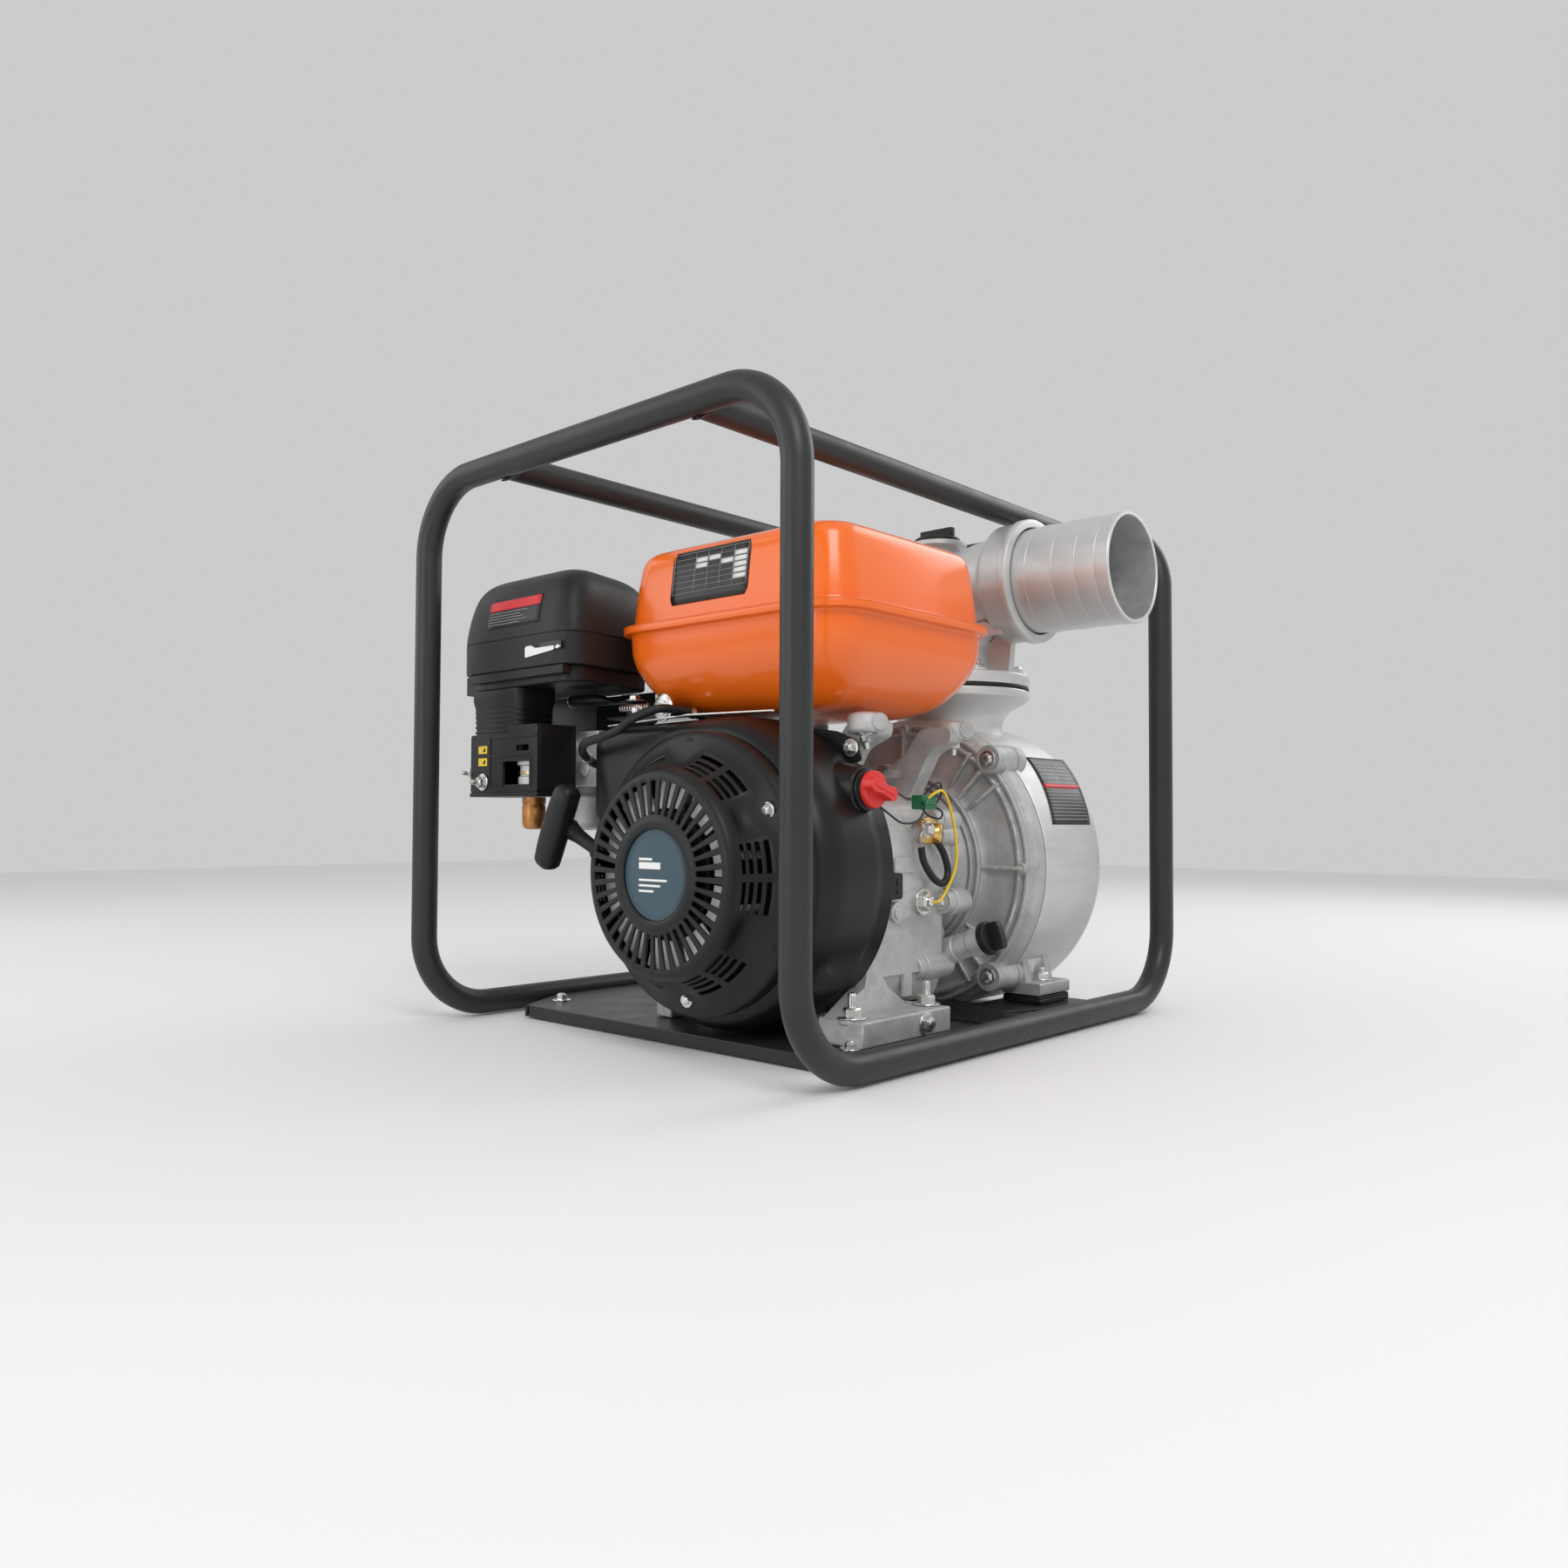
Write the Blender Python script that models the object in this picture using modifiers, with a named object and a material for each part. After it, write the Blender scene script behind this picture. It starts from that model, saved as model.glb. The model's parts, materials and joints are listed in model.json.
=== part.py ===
"""Portable engine-driven fire pump in a tube frame.

Units are metres and +Z is up. The crank axis runs along Y: -Y is the recoil
starter's side, +Y the pump's side, +X the side of the hose outlet. All shapes are drawn
from the middle of the tube frame, and ORIGIN_SHIFT then puts the origin under
the middle of the whole set.
"""
import math

import bmesh
import bpy
from mathutils import Matrix, Vector

# ---- driving dimensions -------------------------------------------------------
GAP = 0.0004                      # air between pieces that touch

TUBE_R = 0.0127                   # 25.4 mm frame tube
HALF_W = 0.239                    # post centre to the middle, across
HALF_L = 0.294                    # arch centre to the middle, along the crank
RAIL_Z = TUBE_R
TOP_Z = 0.518
BEND_R = 0.070
TOP_RAIL_X = {"left": -0.119, "right": 0.133}

PLATE_TOP = 0.0125
PUMP_PLATE_TOP = 0.0177
PLATE_T = 0.003
PLATE_HALF = HALF_W - TUBE_R - GAP

CRANK_X = 0.063
CRANK_Z = 0.151
SHAFT_R = 0.0125
STROKE = 0.058
PLUG_CAP = 0.220                  # crank axis to the spark plug cap

DISC_Y = -0.268                   # face of the recoil cover
SHROUD_Y = (-0.2125, -0.125)
SHROUD_R = 0.1355
CASE_Y = (-0.124, 0.004)          # crankcase casting
COVER_Y = (CASE_Y[1] + GAP, 0.035)
ADAPTER_Y = (COVER_Y[1] + GAP, 0.0997)
PUMP_Y = (ADAPTER_Y[1] + GAP, 0.235)
PUMP_R = 0.147
PUMP_RIM_R = 0.1505

CYL_ANGLE = math.radians(25)      # cylinder leans up from the horizontal
CYL_Y = -0.060
DECK = 0.1748                     # crank axis to the cylinder's top face
HEAD_END = 0.210                  # crank axis to the head's outer face
BORE_R = 0.0385

TANK_MID = Vector((0.0635, -0.084, 0.370))
TANK_HALF = (0.1415, 0.124)

OUTLET = Vector((0.0645, 0.155, 0.4415))   # corner of the discharge elbow
OUTLET_R = 0.0545                 # outside of a 4 inch hose tail
PORT_R = 0.046
MOUTH_X = 0.276
SUCTION_Z = 0.217
SUCTION_END = 0.335

ORIGIN_SHIFT = Vector(((HALF_W + TUBE_R - MOUTH_X) / 2, (HALF_L + TUBE_R - SUCTION_END) / 2, 0))

COLOURS = {
    "frame_paint": ((0.042, 0.044, 0.044), 0.45, 0.4),
    "black_paint": ((0.012, 0.012, 0.013), 0.35, 0.2),
    "black_plastic": ((0.016, 0.016, 0.017), 0.55, 0.0),
    "tank_orange": ((0.90, 0.17, 0.012), 0.18, 0.0),
    "cast_aluminium": ((0.56, 0.57, 0.58), 0.42, 0.9),
    "steel": ((0.50, 0.50, 0.50), 0.30, 1.0),
    "bronze": ((0.42, 0.20, 0.06), 0.35, 0.9),
    "rubber": ((0.010, 0.010, 0.010), 0.80, 0.0),
    "foam": ((0.05, 0.05, 0.055), 0.95, 0.0),
    "red_plastic": ((0.75, 0.03, 0.03), 0.35, 0.0),
    "yellow_wire": ((0.90, 0.62, 0.02), 0.45, 0.0),
}


# ---- scene helpers ----------------------------------------------------------------
def clear_scene():
    for obj in list(bpy.data.objects):
        bpy.data.objects.remove(obj, do_unlink=True)


def new_collection(name):
    collection = bpy.data.collections.new(name)
    bpy.context.scene.collection.children.link(collection)
    return collection


def material(slot):
    found = bpy.data.materials.get(slot)
    if found:
        return found
    colour, roughness, metallic = COLOURS[slot]
    made = bpy.data.materials.new(slot)
    made.use_nodes = True
    shader = made.node_tree.nodes["Principled BSDF"]
    shader.inputs["Base Color"].default_value = (*colour, 1.0)
    shader.inputs["Roughness"].default_value = roughness
    shader.inputs["Metallic"].default_value = metallic
    return made


def place(obj, slot):
    """A part with a slot goes in the model; one without is a hidden cutter."""
    if slot:
        PARTS.objects.link(obj)
        obj.data.materials.clear()
        obj.data.materials.append(material(slot))
    else:
        CUTTERS.objects.link(obj)
        obj.hide_render = True
        obj.display_type = "WIRE"
    obj.parent = PIVOT
    return obj


def mesh_object(name, bm, slot, smooth=False):
    mesh = bpy.data.meshes.new(name)
    bmesh.ops.recalc_face_normals(bm, faces=bm.faces)
    bm.to_mesh(mesh)
    bm.free()
    if smooth:
        mesh.shade_smooth()
        mesh.set_sharp_from_angle(angle=math.radians(35))
    return place(bpy.data.objects.new(name, mesh), slot)


def towards(direction):
    """Rotation that turns local +Z to the direction."""
    return Vector(direction).to_track_quat("Z", "Y").to_matrix().to_4x4()


def box(name, low, high, slot=None, bevel=0.0):
    low, high = Vector(low), Vector(high)
    bm = bmesh.new()
    size = Matrix.Diagonal((*(high - low), 1.0))
    bmesh.ops.create_cube(bm, size=1.0, matrix=Matrix.Translation((low + high) / 2) @ size)
    obj = mesh_object(name, bm, slot)
    if bevel:
        add_bevel(obj, bevel)
    return obj


def add_bevel(obj, width, segments=2):
    rounding = obj.modifiers.new("rounding", "BEVEL")
    rounding.width = width
    rounding.segments = segments
    rounding.limit_method = "ANGLE"
    rounding.angle_limit = math.radians(40)


def rod(name, start, end, radius, slot=None, end_radius=None, sides=18):
    """A cylinder or cone between two points."""
    start, end = Vector(start), Vector(end)
    bm = bmesh.new()
    spot = Matrix.Translation((start + end) / 2) @ towards(end - start)
    bmesh.ops.create_cone(bm, cap_ends=True, segments=sides, radius1=radius,
                          radius2=radius if end_radius is None else end_radius,
                          depth=(end - start).length, matrix=spot)
    return mesh_object(name, bm, slot, smooth=True)


def turned(name, profile, at, direction, slot=None, steps=24):
    """A turned solid: (radius, height) points swept round the direction through at.

    The profile either is a closed ring or starts and ends on the axis.
    """
    closed = profile[0][0] > 0 and profile[-1][0] > 0
    area = sum(a[0] * b[1] - b[0] * a[1] for a, b in zip(profile, profile[1:] + profile[:1]))
    points = profile if area < 0 else profile[::-1]
    bm = bmesh.new()
    verts = [bm.verts.new((r, 0.0, h)) for r, h in points]
    for a, b in zip(verts, verts[1:]):
        bm.edges.new((a, b))
    if closed:
        bm.edges.new((verts[-1], verts[0]))
    mesh = bpy.data.meshes.new(name)
    bm.to_mesh(mesh)
    bm.free()
    obj = bpy.data.objects.new(name, mesh)
    obj.matrix_local = Matrix.Translation(at) @ towards(direction)
    screw = obj.modifiers.new("turn", "SCREW")
    screw.angle = math.tau
    screw.steps = steps
    screw.render_steps = steps
    screw.use_merge_vertices = True
    screw.merge_threshold = 0.00005
    screw.use_smooth_shade = True
    return place(obj, slot)


def curve_mesh(name, curve, matrix, slot):
    """The closed mesh of a filled curve, in the curve's place."""
    guide = bpy.data.objects.new(name + "_guide", curve)
    guide.matrix_local = matrix
    bpy.context.scene.collection.objects.link(guide)
    bpy.context.view_layer.update()
    seen = guide.evaluated_get(bpy.context.evaluated_depsgraph_get())
    mesh = bpy.data.meshes.new_from_object(seen)
    bm = bmesh.new()
    bm.from_mesh(mesh)
    bmesh.ops.remove_doubles(bm, verts=bm.verts, dist=0.00001)
    bmesh.ops.recalc_face_normals(bm, faces=bm.faces)
    bm.to_mesh(mesh)
    bm.free()
    mesh.name = name
    obj = bpy.data.objects.new(name, mesh)
    obj.matrix_local = guide.matrix_world.copy()
    bpy.data.objects.remove(guide, do_unlink=True)
    return place(obj, slot)


PLANES = {
    "X": Matrix(((0, 0, 1), (1, 0, 0), (0, 1, 0))),      # outline (y, z), thick along X
    "Y": Matrix(((1, 0, 0), (0, 0, -1), (0, 1, 0))),     # outline (x, z), thick along Y
    "Z": Matrix.Identity(3),                             # outline (x, y), thick along Z
}


def plate(name, outlines, axis, low, high, slot=None):
    """Flat outlines (the first outside, the others holes) made thick along an axis."""
    curve = bpy.data.curves.new(name, "CURVE")
    curve.dimensions = "2D"
    curve.fill_mode = "BOTH"
    curve.extrude = (high - low) / 2
    for outline in outlines:
        spline = curve.splines.new("POLY")
        spline.points.add(len(outline) - 1)
        for point, (u, v) in zip(spline.points, outline):
            point.co = (u, v, 0.0, 1.0)
        spline.use_cyclic_u = True
    shift = {"X": (1, 0, 0), "Y": (0, 1, 0), "Z": (0, 0, 1)}[axis]
    middle = Vector(shift) * (low + high) / 2
    matrix = Matrix.Translation(middle) @ PLANES[axis].to_4x4()
    return curve_mesh(name, curve, matrix, slot)


def tube_curve(name, points, radius, resolution=3):
    curve = bpy.data.curves.new(name, "CURVE")
    curve.dimensions = "3D"
    curve.bevel_depth = radius
    curve.bevel_resolution = resolution
    curve.use_fill_caps = True
    spline = curve.splines.new("POLY")
    spline.points.add(len(points) - 1)
    for point, spot in zip(spline.points, points):
        point.co = (*spot, 1.0)
    spline.use_smooth = True
    return curve


def tube(name, points, radius, slot, resolution=3):
    return place(bpy.data.objects.new(name, tube_curve(name, points, radius, resolution)), slot)


def tube_mesh(name, points, radius, slot=None, resolution=5):
    """A tube that is cut or joined, so it is a mesh."""
    return curve_mesh(name, tube_curve(name, points, radius, resolution), Matrix(), slot)


def boolean(obj, tools, operation):
    for tool in tools:
        step = obj.modifiers.new(tool.name, "BOOLEAN")
        step.operation = operation
        step.solver = "EXACT"
        step.object = tool
    return obj


def join(obj, *tools):
    return boolean(obj, tools, "UNION")


def cut(obj, *tools):
    return boolean(obj, tools, "DIFFERENCE")


# ---- outlines and routes ----------------------------------------------------------
def arc(centre, radius, start_deg, end_deg, count):
    """Points on an arc in a plane."""
    spots = []
    for i in range(count + 1):
        angle = math.radians(start_deg + (end_deg - start_deg) * i / count)
        spots.append((centre[0] + radius * math.cos(angle), centre[1] + radius * math.sin(angle)))
    return spots


def circle(centre, radius, count=20):
    return arc(centre, radius, 0, 360, count)[:-1]


def round_rect(centre, half_x, half_y, radius, count=4):
    corners = ((1, 1, 0), (-1, 1, 90), (-1, -1, 180), (1, -1, 270))
    spots = []
    for sx, sy, start in corners:
        middle = (centre[0] + sx * (half_x - radius), centre[1] + sy * (half_y - radius))
        spots += arc(middle, radius, start, start + 90, count)
    return spots


def rounded(corners, radius, count=3):
    """A closed outline with every corner rounded."""
    spots = []
    total = len(corners)
    for i, corner in enumerate(corners):
        here = Vector(corner)
        before = (Vector(corners[i - 1]) - here).normalized()
        after = (Vector(corners[(i + 1) % total]) - here).normalized()
        for k in range(count + 1):
            t = k / count
            start, end = here + before * radius, here + after * radius
            spot = start * (1 - t) ** 2 + here * 2 * t * (1 - t) + end * t ** 2
            spots.append(tuple(spot))
    return spots


def bent(corners, radius, count=5):
    """A 3-D route whose inner corners are bent on an arc of the given radius."""
    route = [Vector(corners[0])]
    for before, here, after in zip(corners, corners[1:], corners[2:]):
        here = Vector(here)
        back = (Vector(before) - here).normalized()
        ahead = (Vector(after) - here).normalized()
        turn = math.pi - back.angle(ahead)
        reach = radius * math.tan(turn / 2)
        hub = here + (back + ahead).normalized() * radius / math.cos(turn / 2)
        start = here + back * reach - hub
        side = (here + ahead * reach - hub)
        axis = start.cross(side).normalized()
        for k in range(count + 1):
            route.append(hub + Matrix.Rotation(turn * k / count, 3, axis) @ start)
    route.append(Vector(corners[-1]))
    return route


def smooth_route(corners, per_span=5):
    """A smooth curve through hand-placed points (Catmull-Rom)."""
    spots = [Vector(c) for c in corners]
    ends = [spots[0] * 2 - spots[1]] + spots + [spots[-1] * 2 - spots[-2]]
    route = []
    for a, b, c, d in zip(ends, ends[1:], ends[2:], ends[3:]):
        for k in range(per_span):
            t = k / per_span
            route.append(0.5 * (2 * b + (c - a) * t + (2 * a - 5 * b + 4 * c - d) * t * t
                                + (3 * b - a - 3 * c + d) * t ** 3))
    route.append(spots[-1])
    return route


def along_cylinder(distance, side=0.0, y=CYL_Y):
    """A point at a distance from the crank along the tilted cylinder axis."""
    x = CRANK_X - distance * math.cos(CYL_ANGLE) + side * math.sin(CYL_ANGLE)
    z = CRANK_Z + distance * math.sin(CYL_ANGLE) + side * math.cos(CYL_ANGLE)
    return Vector((x, y, z))


def cylinder_outline(points):
    """(distance, side) pairs as an (x, z) outline."""
    return [(along_cylinder(d, s).x, along_cylinder(d, s).z) for d, s in points]


def crank_turned(name, profile, slot=None, steps=24):
    """A turned solid on the crank axis, drawn as (radius, y)."""
    return turned(name, profile, (CRANK_X, 0, CRANK_Z), (0, 1, 0), slot, steps)


def crank_rod(name, y0, y1, radius, slot=None, sides=18):
    return rod(name, (CRANK_X, y0, CRANK_Z), (CRANK_X, y1, CRANK_Z), radius, slot, sides=sides)


def loft(name, rings, slot, thickness, closed_end=True):
    """An open skin through equal rings of points, made solid inwards."""
    bm = bmesh.new()
    rows = [[bm.verts.new(spot) for spot in ring] for ring in rings]
    count = len(rows[0])
    for low, high in zip(rows, rows[1:]):
        for i in range(count):
            j = (i + 1) % count
            bm.faces.new((low[i], low[j], high[j], high[i]))
    if closed_end:
        bm.faces.new(rows[-1])
    mesh = bpy.data.meshes.new(name)
    bm.to_mesh(mesh)
    bm.free()
    mesh.shade_smooth()
    obj = place(bpy.data.objects.new(name, mesh), slot)
    wall = obj.modifiers.new("wall", "SOLIDIFY")
    wall.thickness = thickness
    wall.offset = -1.0
    wall.use_even_offset = True
    return obj


# ---- frame -------------------------------------------------------------------------
def build_frame():
    for name, side in (("frame_front_tube", -1), ("frame_rear_tube", 1)):
        y_end, y_arch = side * GAP / 2, side * HALF_L
        corners = [(HALF_W, y_end, RAIL_Z), (HALF_W, y_arch, RAIL_Z), (HALF_W, y_arch, TOP_Z),
                   (-HALF_W, y_arch, TOP_Z), (-HALF_W, y_arch, RAIL_Z), (-HALF_W, y_end, RAIL_Z)]
        tube(name, bent(corners, BEND_R), TUBE_R, "frame_paint", resolution=3)
    for side, x in TOP_RAIL_X.items():
        rail = tube_mesh("top_rail_" + side, [(x, -HALF_L, TOP_Z), (x, HALF_L, TOP_Z)],
                         TUBE_R, "frame_paint", resolution=3)
        for end, y in (("front", -HALF_L), ("rear", HALF_L)):
            saddle = rod(f"saddle_{side}_{end}", (x - 0.03, y, TOP_Z), (x + 0.03, y, TOP_Z),
                         TUBE_R + GAP, sides=24)
            cut(rail, saddle)


def build_supports():
    half = PLATE_HALF
    outline = [(-half, -0.002), (-half, -0.145), (-half + 0.036, -0.210), (half - 0.036, -0.210),
               (half, -0.145), (half, -0.002)]
    base = plate("engine_base_plate", [outline], "Z", PLATE_TOP - PLATE_T, PLATE_TOP, "frame_paint")
    folds = [box(f"base_fold_{i}", (-half + 0.036, y, 0.001), (half - 0.036, y + PLATE_T, PLATE_TOP - 0.001))
             for i, y in enumerate((-0.210, -0.005))]
    join(base, *folds)
    window = (-0.020, 0.146)
    outline = [(-half, 0.176), (-half, 0.100), (-0.100, 0.100), (-0.070, 0.056), (0.196, 0.056),
               (0.210, 0.100), (half, 0.100), (half, 0.176), (window[1], 0.176), (window[1], 0.081),
               (window[0], 0.081), (window[0], 0.176)]
    member = plate("pump_cross_member", [outline], "Z", PUMP_PLATE_TOP - PLATE_T, PUMP_PLATE_TOP,
                   "frame_paint")
    low, high = 0.004, PUMP_PLATE_TOP - 0.001
    join(member, box("member_front_fold", (-0.066, 0.056, low), (0.192, 0.056 + PLATE_T, high)),
         box("member_right_fold", (window[1], 0.173, low), (half, 0.176, high)),
         box("member_left_fold", (-half, 0.173, low), (window[0], 0.176, high)))
    for side, x in FOOT_X.items():
        box("pump_foot_pad_" + side, (x - 0.021, 0.107, PUMP_PLATE_TOP + GAP),
            (x + 0.021, 0.163, FOOT_Z - GAP), "rubber", bevel=0.0015)


FOOT_X = {"left": CRANK_X - 0.117, "right": CRANK_X + 0.117}
FOOT_Z = 0.0265


# ---- engine block ------------------------------------------------------------------
def fins(first, last, root, tip, pitch, web):
    """Comb outline of a finned block along the cylinder axis, as (distance, side)."""
    upper = [(first, root)]
    spot = first + pitch / 2
    while spot + web < last:
        upper += [(spot, root), (spot, tip), (spot + web, tip), (spot + web, root)]
        spot += pitch
    upper.append((last, root))
    lower = [(d, -s) for d, s in reversed(upper)]
    return cylinder_outline(upper + lower)


def build_crankcase():
    base = PLATE_TOP + GAP
    body = [(-0.032, 0.030), (0.150, 0.030), (0.158, 0.060), (0.158, 0.165), (0.140, 0.210),
            (0.104, 0.232), (0.000, 0.232), (-0.032, 0.208)]
    case = plate("crankcase", [rounded(body, 0.006, 2)], "Y", *CASE_Y, "cast_aluminium")
    slab = box("crankcase_base", (-0.045, CASE_Y[0], base), (0.200, -0.044, 0.0345))
    pad_r = box("crankcase_pad_right", (0.152, -0.168, base), (0.200, CASE_Y[0] + 0.004, 0.0345))
    pad_l = box("crankcase_pad_left", (-0.045, -0.168, base), (-0.024, CASE_Y[0] + 0.004, 0.0345))
    barrel = plate("cylinder_barrel", [fins(0.060, DECK, 0.049, 0.060, 0.0115, 0.005)],
                   "Y", CYL_Y - 0.054, CYL_Y + 0.054)
    join(case, slab, pad_r, pad_l, barrel)
    chamber = crank_rod("crank_chamber", CASE_Y[0] + 0.020, CASE_Y[1] + 0.01, 0.078)
    bearing_seat = crank_rod("bearing_seat", CASE_Y[0] + 0.006, -0.09, 0.0320)
    shaft_hole = crank_rod("case_shaft_hole", CASE_Y[0] - 0.01, -0.10, SHAFT_R + 0.002)
    bore = rod("cylinder_bore", along_cylinder(0.03), along_cylinder(DECK + 0.01), BORE_R, sides=24)
    cut(case, chamber, bearing_seat, shaft_hole, bore)


def build_side_cover():
    rim = circle((CRANK_X, CRANK_Z), 0.094, 24)
    cover = plate("crankcase_side_cover", [rim], "Y", COVER_Y[0], 0.026, "cast_aluminium")
    hub = crank_rod("side_cover_hub", 0.020, COVER_Y[1], 0.060)
    neck_tip = Vector((0.193, 0.021, 0.0873))
    neck = rod("dipstick_neck", neck_tip - FILLER_AXIS * 0.085, neck_tip, 0.0115)
    bosses = []
    for i, angle in enumerate((20, 75, 130, 195, 250, 318)):
        x = CRANK_X + 0.092 * math.cos(math.radians(angle))
        z = CRANK_Z + 0.092 * math.sin(math.radians(angle))
        bosses.append(rod(f"cover_boss_{i}", (x, COVER_Y[0], z), (x, 0.030, z), 0.0105, sides=10))
    join(cover, hub, neck, *bosses)
    pocket = turned("cover_pocket", [(0, 0.0), (0.075, 0.0), (0.075, 0.018), (0.034, 0.018),
                                     (0.034, 0.021), (0, 0.021)],
                    (CRANK_X, 0, CRANK_Z), (0, 1, 0))
    seat = crank_rod("cover_bearing_seat", 0.0, 0.029, 0.0320)
    hole = crank_rod("cover_shaft_hole", 0.02, 0.05, SHAFT_R + 0.002)
    dip = rod("dipstick_hole", neck_tip - FILLER_AXIS * 0.045, neck_tip + FILLER_AXIS * 0.01, 0.0075)
    cut(cover, pocket, seat, hole, dip)
    build_filler_cap(neck_tip)


FILLER_AXIS = Vector((math.cos(math.radians(19)), 0, math.sin(math.radians(19))))


def build_filler_cap(tip):
    """Oil filler cap with its dipstick, turning on the neck's axis."""
    cap = turned("oil_filler_cap", [(0, -0.040), (0.0025, -0.040), (0.0025, -0.012), (0.0068, -0.012),
                                    (0.0068, GAP), (0.0140, GAP), (0.0140, 0.0075), (0.0120, 0.0095),
                                    (0, 0.0095)],
                 tip, FILLER_AXIS, "black_plastic", steps=20)
    wing = box("filler_wing", (-0.0035, -0.0125, 0.004), (0.0035, 0.0125, 0.020))
    wing.matrix_local = Matrix.Translation(tip) @ towards(FILLER_AXIS)
    join(cap, wing)


def build_head():
    outline = fins(DECK + GAP, HEAD_END, 0.046, 0.057, 0.0105, 0.005)
    head = plate("cylinder_head", [outline], "Y", CYL_Y - 0.0555, CYL_Y + 0.0555, "cast_aluminium")
    chamber = rod("combustion_chamber", along_cylinder(0.16), along_cylinder(0.180), 0.030)
    plug_hole = rod("plug_hole", along_cylinder(0.195, -0.036, -0.078),
                    along_cylinder(0.22, -0.036, -0.078), 0.0072, sides=16)
    cut(head, chamber, plug_hole)
    low, high = HEAD_END + GAP, 0.245
    cover = plate("rocker_cover",
                  [cylinder_outline([(low, -0.016), (high - 0.008, -0.016), (high, -0.008),
                                     (high, 0.038), (high - 0.008, 0.046), (low, 0.046)])],
                  "Y", CYL_Y - 0.042, CYL_Y + 0.042, "steel")
    hollow = plate("rocker_space",
                   [cylinder_outline([(low - 0.01, -0.014), (high - 0.008, -0.014),
                                      (high - 0.002, -0.008), (high - 0.002, 0.038),
                                      (high - 0.008, 0.044), (low - 0.01, 0.044)])],
                   "Y", CYL_Y - 0.040, CYL_Y + 0.040)
    cut(cover, hollow)


def build_ignition():
    """Spark plug, its cap and the lead to the coil under the fan shroud."""
    def spot(distance):
        return along_cylinder(distance, -0.036, -0.078)
    axis = (spot(0.3) - spot(0.2)).normalized()
    turned("spark_plug", [(0, 0), (0.0068, 0), (0.0068, 0.0148), (0.0095, 0.0152), (0.0095, 0.022),
                          (0.0055, 0.024), (0.0055, 0.042), (0, 0.042)],
           spot(0.1955), axis, "steel", steps=12)
    turned("spark_plug_cap", [(0.0062, 0.0), (0.0090, 0.0), (0.0100, 0.006), (0.0100, 0.026),
                              (0.0070, 0.034), (0, 0.034), (0, 0.0205), (0.0062, 0.0205)][::-1],
           spot(PLUG_CAP), axis, "rubber", steps=16)
    start = spot(PLUG_CAP) + axis * 0.035
    route = smooth_route([start, start + axis * 0.005, start + axis * 0.012, (-0.208, -0.094, 0.220),
                          (-0.196, -0.112, 0.198),
                          (-0.150, -0.118, 0.180), (-0.105, -0.122, 0.170), (-0.076, -0.120, 0.164),
                          (-0.052, -0.130, 0.160)], per_span=3)
    tube("ignition_lead", route, 0.0035, "rubber", resolution=2)


def build_moving_inside():
    pin = Vector((STROKE / 2 * math.sin(CYL_ANGLE), 0, STROKE / 2 * math.cos(CYL_ANGLE)))
    shaft = crank_turned("crankshaft", [(0, -0.234), (SHAFT_R - 0.002, -0.234), (SHAFT_R, -0.232),
                                        (SHAFT_R, -0.090), (0.019, -0.090), (0.019, -0.084),
                                        (0, -0.084)], "steel", steps=20)
    tail = crank_turned("shaft_tail", [(0, -0.036), (0.019, -0.036), (0.019, -0.028), (SHAFT_R, -0.028),
                                       (SHAFT_R, 0.134), (0, 0.134)], steps=20)
    centre = (CRANK_X, CRANK_Z)
    webs = []
    for i, (y0, y1) in enumerate(((-0.085, -0.071), (-0.049, -0.035))):
        tilt = 90 - math.degrees(CYL_ANGLE)
        outline = arc(centre, 0.053, tilt + 100, tilt + 260, 10)
        outline += arc((centre[0] + pin.x, centre[1] + pin.z), 0.020, tilt - 80, tilt + 80, 6)
        webs.append(plate(f"crank_web_{i}", [outline], "Y", y0, y1))
    crank_pin = rod("crank_pin", Vector((CRANK_X, -0.075, CRANK_Z)) + pin,
                    Vector((CRANK_X, -0.045, CRANK_Z)) + pin, 0.015, sides=16)
    join(shaft, *webs, crank_pin, tail)
    for end, y in (("front", -0.1165), ("rear", 0.0150)):
        crank_turned("main_bearing_" + end, [(SHAFT_R + GAP, y), (0.0308, y), (0.0308, y + 0.013),
                                             (SHAFT_R + GAP, y + 0.013)], "steel", steps=20)
    skirt = along_cylinder(PISTON_PIN - 0.025)
    turned("piston", [(0.034, 0), (0.038, 0), (0.038, 0.055), (0, 0.055), (0, 0.048), (0.034, 0.048)],
           skirt, along_cylinder(1.0) - along_cylinder(0.0), "cast_aluminium", steps=20)
    crank_turned("flywheel_fan", [(SHAFT_R + GAP, -0.198), (0.030, -0.198), (0.030, -0.166),
                                  (0.088, -0.162), (0.088, -0.138), (0.098, -0.138), (0.098, -0.172),
                                  (0.104, -0.176), (0.104, -0.180), (0.040, -0.180), (0.034, -0.206),
                                  (SHAFT_R + GAP, -0.206)], "cast_aluminium", steps=24)


PISTON_PIN = 0.106                # crank axis to the piston pin at mid-stroke


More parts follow.
